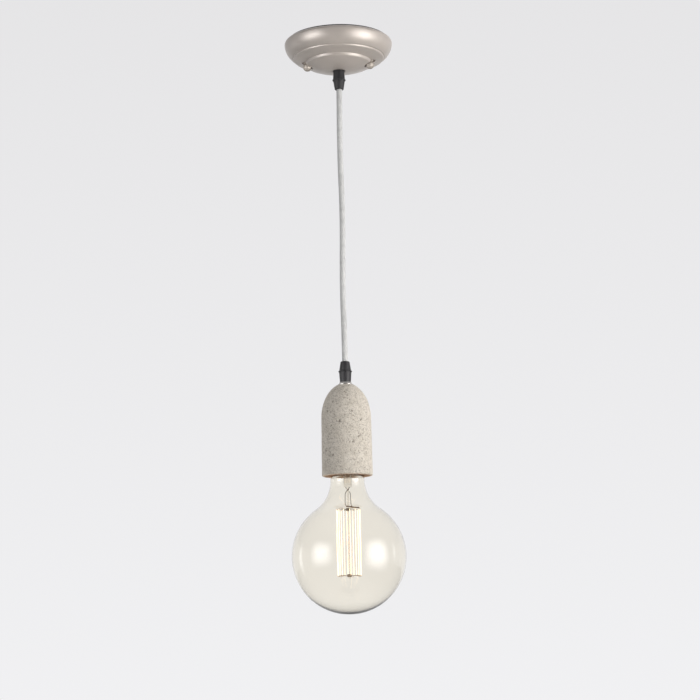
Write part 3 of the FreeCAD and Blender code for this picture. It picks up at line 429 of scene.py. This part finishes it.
def make_world():
    """Pale backdrop, a little darker overhead, with a dimmer room on the camera's side, below and on the
    left."""
    world = bpy.data.worlds.new("studio")
    world.use_nodes = True
    bpy.context.scene.world = world
    tree = world.node_tree
    place = tree.nodes.new("ShaderNodeTexCoord")
    split = tree.nodes.new("ShaderNodeSeparateXYZ")
    tree.links.new(place.outputs["Generated"], split.inputs[0])
    height = tree.nodes.new("ShaderNodeMapRange")
    height.inputs["From Min"].default_value = -1.0
    tree.links.new(split.outputs["Z"], height.inputs["Value"])
    ramp = tree.nodes.new("ShaderNodeValToRGB")
    tree.links.new(height.outputs["Result"], ramp.inputs["Fac"])
    stops = ramp.color_ramp.elements
    stops[0].position, stops[0].color = WORLD_BELOW
    stops[1].position, stops[1].color = WORLD_ABOVE
    horizon = stops.new(WORLD_HORIZON[0])
    horizon.color = WORLD_HORIZON[1]
    shares = []
    for axis, dim, bright, least in WORLD_DIMMING:
        fade = tree.nodes.new("ShaderNodeMapRange")
        fade.interpolation_type = "SMOOTHSTEP"
        for key, number in (("From Min", dim), ("From Max", bright), ("To Min", least), ("To Max", 1.0)):
            fade.inputs[key].default_value = number
        tree.links.new(split.outputs[axis], fade.inputs["Value"])
        shares.append(fade.outputs["Result"])
    strength = tree.nodes.new("ShaderNodeMath")
    strength.operation = "MULTIPLY"
    tree.links.new(shares[0], strength.inputs[0])
    tree.links.new(shares[1], strength.inputs[1])
    tree.links.new(ramp.outputs["Color"], tree.nodes["Background"].inputs["Color"])
    tree.links.new(strength.outputs[0], tree.nodes["Background"].inputs["Strength"])


# ---------------------------------------------------------------- material helpers
class Surface:
    """One material and short names for the nodes that drive it. Patterns are in the object's own metres."""

    def __init__(self, name):
        self.material = bpy.data.materials.new(name)
        self.material.use_nodes = True
        self.tree = self.material.node_tree
        self.shader = self.tree.nodes["Principled BSDF"]
        self.place = self.tree.nodes.new("ShaderNodeTexCoord").outputs["Object"]

    def add(self, kind, **settings):
        node = self.tree.nodes.new(kind)
        for key, value in settings.items():
            setattr(node, key, value)
        return node

    def put(self, socket, value):
        """Links a socket or sets a plain value."""
        if isinstance(value, bpy.types.NodeSocket):
            self.tree.links.new(value, socket)
        else:
            socket.default_value = value

    def set(self, **values):
        """Sets the shader's inputs, named with underscores for spaces."""
        for key, value in values.items():
            self.put(self.shader.inputs[key.replace("_", " ")], value)

    def stretched(self, x, y, z):
        node = self.add("ShaderNodeMapping")
        self.put(node.inputs["Vector"], self.place)
        node.inputs["Scale"].default_value = (x, y, z)
        return node.outputs["Vector"]

    def noise(self, size, detail=3.0, roughness=0.5, place=None):
        node = self.add("ShaderNodeTexNoise")
        self.put(node.inputs["Vector"], place or self.place)
        node.inputs["Scale"].default_value = 1.0 / size
        node.inputs["Detail"].default_value = detail
        node.inputs["Roughness"].default_value = roughness
        return node.outputs["Fac"]

    def cells(self, size):
        """Distance to the middle of the nearest cell, in cells."""
        node = self.add("ShaderNodeTexVoronoi")
        self.put(node.inputs["Vector"], self.place)
        node.inputs["Scale"].default_value = 1.0 / size
        return node.outputs["Distance"]

    def math(self, operation, a, b=0.0):
        node = self.add("ShaderNodeMath", operation=operation)
        self.put(node.inputs[0], a)
        self.put(node.inputs[1], b)
        return node.outputs[0]

    def span(self, value, low, high, to_low=0.0, to_high=1.0):
        """Maps a range of values to another, with smooth ends."""
        node = self.add("ShaderNodeMapRange", interpolation_type="SMOOTHSTEP")
        for key, number in (("Value", value), ("From Min", low), ("From Max", high),
                            ("To Min", to_low), ("To Max", to_high)):
            self.put(node.inputs[key], number)
        return node.outputs["Result"]

    def mix(self, share, a, b):
        node = self.add("ShaderNodeMix", data_type="RGBA")
        self.put(node.inputs["Factor"], share)
        self.put(node.inputs[6], a)
        self.put(node.inputs[7], b)
        return node.outputs[2]

    def bump(self, height, depth):
        """Bump of a height from 0 to 1 that stands for depth metres."""
        node = self.add("ShaderNodeBump")
        node.inputs["Distance"].default_value = depth
        self.put(node.inputs["Height"], height)
        return node.outputs["Normal"]


def rgb(red, green, blue):
    return (red, green, blue, 1.0)


def shade(colour, by):
    return (colour[0] * by, colour[1] * by, colour[2] * by, 1.0)


def dressed(node, surface):
    """Gives a CAD node its finish."""
    for place in NODES[node].material_slots:
        place.material = surface.material


def plastic(name, colour, roughness, grain, depth):
    """Moulded plastic with a fine spark-eroded texture and slightly uneven gloss."""
    s = Surface(name)
    cloud = s.noise(6 * MM, 2.0)
    fine = s.noise(grain, 2.0, 0.6)
    s.set(Base_Color=s.mix(s.span(cloud, 0.3, 0.7), shade(colour, 0.82), shade(colour, 1.18)),
          Roughness=s.span(fine, 0.25, 0.75, roughness - 0.07, roughness + 0.09),
          Normal=s.bump(fine, depth), IOR=1.48)
    return s


def metal(name, colour, roughness, along=(1, 1, 1), tarnish=0.12):
    """Bare or plated metal with fine tool marks and a light tarnish."""
    s = Surface(name)
    marks = s.noise(0.25 * MM, 3.0, 0.6, s.stretched(*along))
    cloud = s.noise(5 * MM, 4.0, 0.6)
    s.set(Base_Color=s.mix(s.span(cloud, 0.35, 0.75), shade(colour, 1.0), shade(colour, 1 - 2 * tarnish)),
          Roughness=s.math("ADD", s.span(marks, 0.3, 0.7, roughness * 0.8, roughness * 1.25),
                           s.span(cloud, 0.5, 0.8, 0.0, tarnish)),
          Normal=s.bump(marks, 0.004 * MM), Metallic=1.0)
    return s


# ---------------------------------------------------------------- materials
def canopy_paint():
    """Satin warm grey paint: orange peel, faint clouding and pale flakes."""
    s = Surface("canopy_paint")
    colour = (0.43, 0.385, 0.35)
    cloud = s.noise(22 * MM, 3.0)
    peel = s.noise(0.9 * MM, 2.0, 0.45)
    flake = s.span(s.cells(0.22 * MM), 0.12, 0.3, 1.0, 0.0)
    base = s.mix(s.span(cloud, 0.3, 0.7), shade(colour, 0.95), shade(colour, 1.05))
    base = s.mix(s.math("MULTIPLY", flake, 0.22), base, shade(colour, 1.5))
    s.set(Base_Color=base, Roughness=s.span(peel, 0.3, 0.7, 0.36, 0.44), Metallic=0.25,
          Normal=s.bump(peel, 0.012 * MM), IOR=1.5, Coat_Weight=0.15, Coat_Roughness=0.16)
    return s


def concrete():
    """Cast concrete: mottled cement, sand grains, painted shade in its fine pores and in the pits of the
    mesh, and painted brown shade, warmed by the filament's light, on the mouth and in the bore."""
    s = Surface("concrete")
    cement = (rgb(0.545, 0.497, 0.428), rgb(0.615, 0.568, 0.500))
    grey_fleck = rgb(0.30, 0.265, 0.22)
    pale_fleck = rgb(0.68, 0.64, 0.58)
    pale_grain = rgb(0.74, 0.70, 0.64)
    dark_grain = rgb(0.20, 0.17, 0.14)
    # painted shade for the fine pores and the mesh's pits
    painted_hollow_shade = rgb(0.13, 0.11, 0.09)
    # painted warm shade for the mouth and the bore
    painted_warm_shade = rgb(0.27, 0.155, 0.09)
    pit = s.add("ShaderNodeAttribute", attribute_name="pit").outputs["Fac"]
    mottle = s.noise(9 * MM, 4.0, 0.6)
    fleck = s.noise(2.4 * MM, 2.0, 0.7)
    sand = s.noise(1.1 * MM, 2.0, 0.6)
    base = s.mix(s.span(mottle, 0.30, 0.70), *cement)
    base = s.mix(s.span(fleck, 0.54, 0.66, 0.0, 0.5), base, grey_fleck)
    base = s.mix(s.span(fleck, 0.32, 0.46, 0.35, 0.0), base, pale_fleck)
    base = s.mix(s.span(sand, 0.58, 0.72, 0.0, 0.5), base, pale_grain)
    base = s.mix(s.span(sand, 0.33, 0.45, 0.75, 0.0), base, dark_grain)
    pore_gate = s.span(s.noise(6 * MM, 2.0), 0.34, 0.50)
    pore = s.math("MULTIPLY", s.span(s.cells(1.7 * MM), 0.12, 0.28, 1.0, 0.0), pore_gate)
    # painted shade in the fine pores
    base = s.mix(s.math("MULTIPLY", pore, 0.85), base, painted_hollow_shade)
    # painted shade in the mesh's pits, from the shell's pit attribute
    base = s.mix(s.math("MULTIPLY", pit, 0.8), base, painted_hollow_shade)
    split = s.add("ShaderNodeSeparateXYZ")
    s.put(split.inputs[0], s.place)
    mouth_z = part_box("concrete_shell")[0].z
    spread = s.math("SQRT", s.math("ADD", s.math("POWER", split.outputs["X"], 2.0),
                                   s.math("POWER", split.outputs["Y"], 2.0)))
    mouth = s.math("MULTIPLY", s.span(split.outputs["Z"], mouth_z + 0.2 * MM, mouth_z + 1.0 * MM, 1.0, 0.0),
                   s.span(spread, SHELL_WALL_R[1] - 4.5 * MM, SHELL_WALL_R[1] - 2 * MM, 1.0, 0.0))
    inside = s.span(spread, SHELL_BORE_R + 0.2 * MM, SHELL_BORE_R + 1.0 * MM, 1.0, 0.0)
    low = s.span(split.outputs["Z"], SHELL_DOME_Z, SHELL_DOME_Z + 2 * MM, 1.0, 0.0)
    warm_shade_mask = s.math("MAXIMUM", mouth, s.math("MULTIPLY", inside, low))
    # painted warm shade: brown under the mouth and low in the bore, tinted by the filament's light
    base = s.mix(s.math("MULTIPLY", warm_shade_mask, 0.85), base, painted_warm_shade)
    height = s.math("SUBTRACT", s.math("ADD", sand, s.math("MULTIPLY", fleck, -0.6)), pore)
    s.set(Base_Color=base, Roughness=s.span(sand, 0.3, 0.7, 0.84, 0.96), Normal=s.bump(height, 0.24 * MM),
          Specular_IOR_Level=0.3)
    return s


def braid_fabric():
    """Grey textile sleeve: yarns run along each bundle, with painted shade in the valleys between bundles and
    between the yarns, and pale fuzz.
    """
    s = Surface("cord_fabric")
    cotton = (rgb(0.60, 0.60, 0.595), rgb(0.71, 0.71, 0.70))
    painted_yarn_gap_shade = rgb(0.36, 0.36, 0.36)
    pale_fuzz = rgb(0.80, 0.80, 0.79)
    painted_valley_shade = rgb(0.20, 0.20, 0.20)
    uv = s.add("ShaderNodeUVMap", uv_map="UVMap").outputs["UV"]
    split = s.add("ShaderNodeSeparateXYZ")
    s.put(split.inputs[0], uv)
    radius = CORD_DIAMETER / 2 - BRAID_RELIEF
    pitch = 2 * math.pi * radius / BRAID_STRANDS
    turn = s.math("MULTIPLY", split.outputs["X"], float(BRAID_STRANDS))
    along = s.math("MULTIPLY", split.outputs["Y"], 1.0 / pitch)
    right = s.math("ADD", turn, along)
    left = s.math("SUBTRACT", turn, along)
    cell = s.math("ADD", s.math("FLOOR", right), s.math("FLOOR", left))
    over = s.math("FLOORED_MODULO", cell, 2.0)
    across = s.add("ShaderNodeMix", data_type="FLOAT")
    s.put(across.inputs["Factor"], over)
    s.put(across.inputs[2], s.math("FRACT", left))
    s.put(across.inputs[3], s.math("FRACT", right))
    side = s.math("ABSOLUTE", s.math("SUBTRACT", across.outputs[0], 0.5))
    valley_shade_mask = s.span(side, 0.34, 0.5)
    yarn = s.math("PINGPONG", s.math("MULTIPLY", across.outputs[0], 4.0), 0.5)
    yarn = s.math("MULTIPLY", yarn, 2.0)
    fuzz = s.noise(0.35 * MM, 3.0, 0.7)
    tone = s.noise(7 * MM, 2.0)
    base = s.mix(s.span(tone, 0.3, 0.7), *cotton)
    # painted shade between the yarns of a bundle
    base = s.mix(s.math("MULTIPLY", s.math("SUBTRACT", 1.0, yarn), 0.30), base, painted_yarn_gap_shade)
    base = s.mix(s.span(fuzz, 0.5, 0.75, 0.0, 0.35), base, pale_fuzz)
    # painted shade in the valleys between bundles
    base = s.mix(s.math("MULTIPLY", valley_shade_mask, 0.6), base, painted_valley_shade)
    height = s.math("ADD", yarn, s.math("MULTIPLY", fuzz, 0.8))
    s.set(Base_Color=base, Roughness=0.85, Normal=s.bump(height, 0.05 * MM), Sheen_Weight=0.35,
          Sheen_Roughness=0.4, Specular_IOR_Level=0.25)
    return s


def clear_glass(name, tint, ripple, depth, roughness=0.0):
    """Clear or slightly milky glass that lets lamp light through to what is inside."""
    s = Surface(name)
    wave = s.noise(ripple, 1.0)
    s.set(Base_Color=tint, Roughness=roughness, Transmission_Weight=1.0, IOR=1.48, Normal=s.bump(wave, depth))
    clear = s.add("ShaderNodeBsdfTransparent")
    clear.inputs["Color"].default_value = tint
    rays = s.add("ShaderNodeLightPath")
    either = s.add("ShaderNodeMixShader")
    s.put(either.inputs["Fac"], rays.outputs["Is Shadow Ray"])
    s.put(either.inputs[1], s.shader.outputs["BSDF"])
    s.put(either.inputs[2], clear.outputs["BSDF"])
    s.put(s.tree.nodes["Material Output"].inputs["Surface"], either.outputs["Shader"])
    return s


def glowing_wire():
    """Carbon filament at work, hotter in places and cooled near the supports at both ends."""
    s = Surface("filament")
    heat = s.noise(9 * MM, 2.0)
    split = s.add("ShaderNodeSeparateXYZ")
    s.put(split.inputs[0], s.place)
    low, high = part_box("bulb_filament")
    lower = s.span(split.outputs["Z"], low.z + 0.4 * MM, low.z + 2.2 * MM)
    upper = s.span(split.outputs["Z"], high.z - 2.2 * MM, high.z - 0.4 * MM, 1.0, 0.0)
    glow = s.math("MULTIPLY", s.math("MULTIPLY", lower, upper), 2.4)
    s.set(Base_Color=rgb(0.30, 0.20, 0.12), Roughness=0.5,
          Emission_Color=s.mix(s.span(heat, 0.3, 0.7), rgb(1.0, 0.70, 0.42), rgb(1.0, 0.86, 0.64)),
          Emission_Strength=s.math("ADD", glow, 0.15))
    return s


def core_insulation(name, colour, stripe=None):
    """Smooth wire insulation, with a second colour wound round it where it has one."""
    s = Surface(name)
    cloud = s.noise(2.5 * MM, 2.0)
    base = s.mix(s.span(cloud, 0.3, 0.7), shade(colour, 0.88), shade(colour, 1.1))
    if stripe:
        band = s.add("ShaderNodeTexWave", bands_direction="DIAGONAL")
        s.put(band.inputs["Vector"], s.place)
        band.inputs["Scale"].default_value = 70.0
        base = s.mix(s.span(band.outputs["Fac"], 0.6, 0.7), base, stripe)
    s.set(Base_Color=base, Roughness=s.span(cloud, 0.3, 0.7, 0.3, 0.4), Normal=s.bump(cloud, 0.02 * MM))
    return s


def ceramic():
    """Unglazed white ceramic with a fine sandy surface."""
    s = Surface("holder_ceramic")
    sand = s.noise(0.3 * MM, 3.0, 0.6)
    cloud = s.noise(6 * MM, 3.0)
    s.set(Base_Color=s.mix(s.span(cloud, 0.3, 0.7), rgb(0.74, 0.72, 0.67), rgb(0.83, 0.81, 0.77)),
          Roughness=s.span(sand, 0.3, 0.7, 0.5, 0.7), Normal=s.bump(sand, 0.03 * MM))
    return s


def studio_floor():
    """Plain pale studio floor with a fine paper grain."""
    s = Surface("studio_floor")
    grain = s.noise(2 * MM, 3.0)
    s.set(Base_Color=s.mix(s.span(grain, 0.3, 0.7), rgb(0.68, 0.68, 0.67), rgb(0.72, 0.72, 0.71)),
          Roughness=0.9, Normal=s.bump(grain, 0.05 * MM))
    return s


# ---------------------------------------------------------------- pieces made here
def make_canopy_stub():
    """End of the cord that the upper grip holds. A cup in it faces the head of the hanging cord."""
    tail_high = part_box("canopy_cord_tail")[1]
    cup_r = CORD_DIAMETER / 2 + 0.25 * MM
    rim_z = CORD_ROUTE[0][2] + math.sqrt(cup_r ** 2 - (CORD_DIAMETER / 2) ** 2)
    heights = [tail_high.z + (rim_z - tail_high.z) * i / STUB_STEPS for i in range(STUB_STEPS + 1)]
    path = [Vector((0, 0, height)) for height in heights]
    stub = braided_tube("braided_stub", path, STUB_AROUND, cup_r=cup_r)
    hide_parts("canopy_cord_tail")
    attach(stub, "canopy")
    return stub


def ellipse_points(half_width, half_height, from_z, to_z, steps):
    """Points of an ellipse centred where the shell's dome meets its wall, both ends included."""
    start = math.acos((from_z - SHELL_DOME_Z) / half_height)
    end = math.acos((to_z - SHELL_DOME_Z) / half_height)
    found = []
    for i in range(steps + 1):
        a = start + (end - start) * i / steps
        found.append((half_width * math.sin(a), SHELL_DOME_Z + half_height * math.cos(a)))
    return found


def pit_field(points):
    """Depth in metres and a 0 to 1 share of shade at each point, from seeded pits on the shell's outside."""
    dice = np.random.RandomState(PIT_SEED)
    depth = np.zeros(len(points))
    dark = np.zeros(len(points))
    pits = [(math.radians(-90 + turn), z, width, slant, deep) for turn, z, width, slant, deep in SHELL_SCARS]
    for _ in range(PIT_COUNT):
        width = PIT_LEAST_W + PIT_MORE_W * dice.rand() ** 3.0
        pits.append((dice.rand() * 2 * math.pi, PIT_TOP_Z - PIT_FIELD_H * dice.rand(), width,
                     dice.rand() * 2 - 1, width * (0.5 + 0.5 * dice.rand())))
    turns = np.arctan2(points[:, 1], points[:, 0])
    spread = np.hypot(points[:, 0], points[:, 1])
    for turn, z, width, slant, deep in pits:
        off = (turns - turn + math.pi) % (2 * math.pi) - math.pi
        near = np.nonzero((np.abs(points[:, 2] - z) < 3 * width) & (np.abs(off) * spread < 3 * width))[0]
        for i in near:
            across = off[i] * spread[i]
            up = points[i, 2] - z
            lean = across - slant * up
            ragged = noise.noise(Vector(points[i]) * 900.0) * 0.45 * width
            reach = math.hypot(lean, up * 0.75) + ragged
            share = 1 - min(max(reach / width, 0.0), 1.0)
            share = share * share * (3 - 2 * share)
            depth[i] = max(depth[i], deep * min(1.0, 1.6 * share))
            dark[i] = max(dark[i], min(1.0, 1.5 * share))
    return depth, dark


def make_shell():
    """Cast shell with its pits, grain and slight unevenness in the mesh."""
    cad_low, cad_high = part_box("concrete_shell")
    outside = ellipse_points(SHELL_WALL_R[0], SHELL_DOME_H, cad_high.z, SHELL_DOME_Z, DOME_STEPS)
    wall_end = cad_low.z + SHELL_EDGE
    for i in range(1, WALL_STEPS + 1):
        t = i / WALL_STEPS
        outside.append((SHELL_WALL_R[0] + (SHELL_WALL_R[1] - SHELL_WALL_R[0]) * t,
                        SHELL_DOME_Z + (wall_end - SHELL_DOME_Z) * t))
    outside += arc((SHELL_WALL_R[1] - SHELL_EDGE, wall_end), SHELL_EDGE, 0, -90, 5)[1:]
    mouth_out = SHELL_WALL_R[1] - SHELL_EDGE
    mouth_in = SHELL_BORE_R + SHELL_INNER_EDGE
    for i in range(1, MOUTH_STEPS + 1):
        outside.append((mouth_out + (mouth_in - mouth_out) * i / MOUTH_STEPS, cad_low.z))
    edge_z = cad_low.z + SHELL_INNER_EDGE
    inside = arc((mouth_in, edge_z), SHELL_INNER_EDGE, -90, -180, 3)[1:]
    bore_h = SHELL_DOME_Z - cad_low.z - SHELL_INNER_EDGE
    for i in range(1, BORE_STEPS + 1):
        inside.append((SHELL_BORE_R, edge_z + bore_h * i / BORE_STEPS))
    cavity = ellipse_points(SHELL_BORE_R, SHELL_CAVITY_H, SHELL_CAVITY_TOP, SHELL_DOME_Z, CAVITY_STEPS)
    cavity.reverse()
    inside += cavity[1:] + [(SHELL_HOLE_R, SHELL_CAVITY_TOP), (SHELL_HOLE_R, cad_high.z)]
    shell = turned("concrete_shell_cast", outside + inside, SHELL_SEGMENTS, 55)
    mesh = shell.data
    count = len(mesh.vertices)
    points = np.zeros(count * 3, np.float32)
    normals = np.zeros(count * 3, np.float32)
    mesh.vertices.foreach_get("co", points)
    mesh.vertices.foreach_get("normal", normals)
    points = points.reshape(-1, 3).astype(float)
    normals = normals.reshape(-1, 3).astype(float)
    spread = np.hypot(points[:, 0], points[:, 1])
    outer = (np.arange(count) // SHELL_SEGMENTS) < len(outside)
    keep = np.clip((cad_high.z - SHELL_PLAIN_H - points[:, 2]) / SHELL_EASE_H, 0, 1) * outer
    depth, dark = pit_field(points)
    for i in np.nonzero(keep > 0)[0]:
        place = Vector(points[i])
        wave = 0.5 + 0.5 * noise.noise(place * 70.0)
        grain = 0.5 + 0.5 * noise.noise(place * 1400.0)
        depth[i] += SHELL_WAVE * wave + SHELL_GRAIN * grain
    depth *= keep
    dark *= keep
    points -= normals * depth[:, None]
    mesh.vertices.foreach_set("co", points.astype(np.float32).ravel())
    mesh.update()
    # share of painted shade in the pits, read by the concrete's colour
    pit = mesh.attributes.new("pit", "FLOAT", "POINT")
    pit.data.foreach_set("value", dark.astype(np.float32))
    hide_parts("concrete_shell")
    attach(shell, "lamp")
    return shell


def bulb_outline(inset, ball_r, ball_z, gather=0.0):
    """Outside of the bulb, moved inwards by inset: seal, shoulder, neck, fillet and globe, down to the axis.
    The glass is thicker by gather at the bottom."""
    globe_r = ball_r - inset
    neck_r = NECK_R - inset
    fillet_r = NECK_FILLET_R + inset
    lean = math.atan(NECK_SLOPE)
    # the fillet's centre lies fillet_r outside the neck's line and globe_r + fillet_r from the globe's centre
    out = Vector((math.cos(lean), math.sin(lean)))
    down = Vector((math.sin(lean), -math.cos(lean)))
    start = Vector((neck_r, NECK_Z)) + out * fillet_r
    offset = start - Vector((0, ball_z))
    along = down.dot(offset)
    apart = offset.length_squared - (globe_r + fillet_r) ** 2
    centre = start + down * (-along - math.sqrt(along ** 2 - apart))
    on_neck = centre - out * fillet_r
    to_globe = (Vector((0, ball_z)) - centre).normalized()
    neck_deg = math.degrees(math.atan2(-out.y, -out.x)) % 360
    globe_deg = math.degrees(math.atan2(to_globe.y, to_globe.x)) % 360
    shoulder_r = neck_r + NECK_SLOPE * (NECK_Z - NECK_TOP_Z)
    seal_end = SEAL_Z - SEAL_H
    outline = [(SEAL_R - inset, SEAL_Z - inset), (SEAL_R - inset, seal_end)]
    shoulder = [(SEAL_R + wider - inset, seal_end - lower, 0) for wider, lower in SHOULDER]
    shoulder.append((shoulder_r, NECK_TOP_Z, 0))
    outline += [tuple(p.xy) for p in smooth_path(shoulder, 4)][1:]
    for i in range(1, NECK_STEPS):
        t = i / NECK_STEPS
        outline.append((shoulder_r + (on_neck.x - shoulder_r) * t, NECK_TOP_Z + (on_neck.y - NECK_TOP_Z) * t))
    outline += arc(centre, fillet_r, neck_deg, globe_deg, 26)
    for radius, height in arc((0, ball_z), globe_r, globe_deg - 180, -90, 96)[1:-1]:
        share = max(0.0, (ball_z - height) / globe_r - 0.6) / 0.4
        shrink = 1 - gather * share ** 2 / globe_r
        outline.append((radius * shrink, ball_z + (height - ball_z) * shrink))
    outline.append((0.0, ball_z - globe_r + gather))
    return outline


def make_globe():
    """Blown glass with an outer and an inner skin."""
    cad_low, cad_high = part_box("bulb_envelope")
    ball_r = cad_high.x
    ball_z = cad_low.z + ball_r
    outer = bulb_outline(0.0, ball_r, ball_z)
    inner = bulb_outline(GLASS_T, ball_r, ball_z, GLASS_GATHER)
    inner.reverse()
    globe = turned("bulb_glass_globe", outer + inner, GLOBE_SEGMENTS, 60)
    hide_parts("bulb_envelope")
    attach(globe, "bulb")
    return globe


def round_wire(name, path, radius):
    """Closed round wire along a path."""
    points = []
    for centre, (side, upright) in zip(path, frames_along(path)):
        for i in range(WIRE_AROUND):
            angle = 2 * math.pi * i / WIRE_AROUND
            points.append(centre + side * radius * math.cos(angle) + upright * radius * math.sin(angle))
    return new_piece(name, points, tube_faces(len(path), WIRE_AROUND), 60)


def make_filament():
    """Cage filament: one wire up and down between the two spiders, with hairpin bends and slightly bowed
    runs."""
    cad_low, cad_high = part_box("bulb_filament")
    top = cad_high.z - FILAMENT_R
    bottom = cad_low.z + FILAMENT_R
    route = []
    for run in range(CAGE_RUNS):
        turn = 2 * math.pi * (run + 0.5) / CAGE_RUNS + CAGE_TURN
        bow = FILAMENT_BOW * math.sin(run * 2.4)
        for share in reversed(RUN_POINTS) if run % 2 else RUN_POINTS:
            reach = CAGE_R - abs(bow) + bow * math.sin(math.pi * share)
            route.append((reach * math.cos(turn), reach * math.sin(turn), top + (bottom - top) * share))
    wire = round_wire("glowing_filament", smooth_path(route, 4), FILAMENT_R)
    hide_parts("bulb_filament")
    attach(wire, "bulb")
    return wire


def make_filament_light(globe):
    """Warm light of the filament. It moves with the bulb."""
    data = bpy.data.lights.new("filament_light", "POINT")
    data.energy = FILAMENT_WATTS
    data.color = FILAMENT_COLOUR
    data.shadow_soft_size = FILAMENT_LIGHT_R
    lamp = bpy.data.objects.new("filament_light", data)
    lamp.visible_camera = False
    lamp.visible_transmission = False
    lamp.visible_glossy = False
    lamp.location = (0, 0, FILAMENT_LIGHT_Z)
    bpy.context.scene.collection.objects.link(lamp)
    lamp.parent = globe
    lamp.matrix_parent_inverse = globe.matrix_world.inverted()


# ---------------------------------------------------------------- build
floor = make_stage()
make_world()
lamp_middle = (lamp_low.z + lamp_high.z) / 2
for name, place, *rest in SOFTBOXES:
    make_softbox(name, place, (0, 0, lamp_middle), *rest)

stub = make_canopy_stub()
shell = make_shell()
globe = make_globe()
filament = make_filament()

make_filament_light(globe)

fabric = braid_fabric()
for piece, surface in (
        (cord, fabric), (stub, fabric), (shell, concrete()), (floor, studio_floor()),
        (globe, clear_glass("bulb_glass", rgb(1.0, 0.976, 0.915), 14 * MM, 0.02 * MM)),
        (filament, glowing_wire())):
    piece.data.materials.append(surface.material)

zinc = metal("zinc_steel", (0.62, 0.62, 0.60), 0.34, tarnish=0.10)
nut_metal = metal("nut_metal", (0.42, 0.38, 0.34), 0.62, along=(1, 1, 6), tarnish=0.06)
brass = metal("brass", (0.72, 0.52, 0.24), 0.30)
nickel = metal("nickel", (0.62, 0.60, 0.57), 0.20, along=(1, 1, 8), tarnish=0.04)
cap_metal = metal("cap_metal", (0.74, 0.73, 0.71), 0.26)
fine_wire = metal("fine_wire", (0.20, 0.15, 0.11), 0.35)
grip = plastic("grip_plastic", (0.007, 0.006, 0.008), 0.55, 0.35 * MM, 0.02 * MM)
block = plastic("block_plastic", (0.80, 0.80, 0.76), 0.38, 0.5 * MM, 0.015 * MM)
holder = plastic("holder_plastic", (0.03, 0.028, 0.027), 0.34, 0.6 * MM, 0.012 * MM)
# dark foam ring on the canopy's rim; it stands in for the line of shade along the rim's top
rim_shade_gasket = plastic("gasket_foam", (0.045, 0.045, 0.047), 0.85, 0.5 * MM, 0.08 * MM)
vitrite = plastic("vitrite", (0.015, 0.015, 0.02), 0.12, 1.0 * MM, 0.01 * MM)
stem_glass = clear_glass("stem_glass", rgb(0.90, 0.87, 0.83), 1.6 * MM, 0.10 * MM, 0.12)
brown = core_insulation("core_brown", (0.20, 0.095, 0.045))
blue = core_insulation("core_blue", (0.04, 0.17, 0.52))
earth = core_insulation("core_earth", (0.62, 0.60, 0.06), rgb(0.08, 0.36, 0.09))
paint = canopy_paint()
pottery = ceramic()

FINISHES = {
    "mounting_bracket": zinc, "canopy_studs": zinc, "stud_locknuts": zinc, "terminal_screws": zinc,
    "ground_screw": brass, "earth_eyelet": brass, "terminal_block": block, "terminal_inserts": brass,
    "live_lead": brown, "neutral_lead": blue, "earth_lead": earth, "ceiling_gasket": rim_shade_gasket, "canopy": paint,
    "canopy_nipple": zinc, "nipple_washer": zinc, "nipple_nut": zinc,
    "upper_grip_base": grip, "upper_grip_collet": grip, "upper_grip_nose": grip,
    "nut_washer_left": nut_metal, "nut_washer_right": nut_metal,
    "ball_nut_left": nut_metal, "ball_nut_right": nut_metal,
    "lower_grip_nose": grip, "lower_grip_collet": grip, "lower_grip_base": grip,
    "lamp_cord_tail": block, "shell_collar": nickel, "lamp_nipple": zinc, "shell_washer": zinc,
    "shell_locknut": zinc, "lampholder_cap": holder, "lampholder_core": pottery,
    "lampholder_skirt": holder, "holder_screws": brass, "screw_shell": brass, "centre_contact": brass,
    "side_contact": brass, "holder_live_lead": brown, "holder_neutral_lead": blue,
    "bulb_end_contact": zinc, "bulb_cap": cap_metal, "bulb_cap_insulator": vitrite,
    "bulb_stem": stem_glass, "bulb_arbor": stem_glass, "bulb_upper_spider": fine_wire,
    "bulb_lower_spider": fine_wire, "bulb_lead_wires": fine_wire,
}
for node, surface in FINISHES.items():
    dressed(node, surface)

bpy.context.scene.view_settings.view_transform = "Standard"
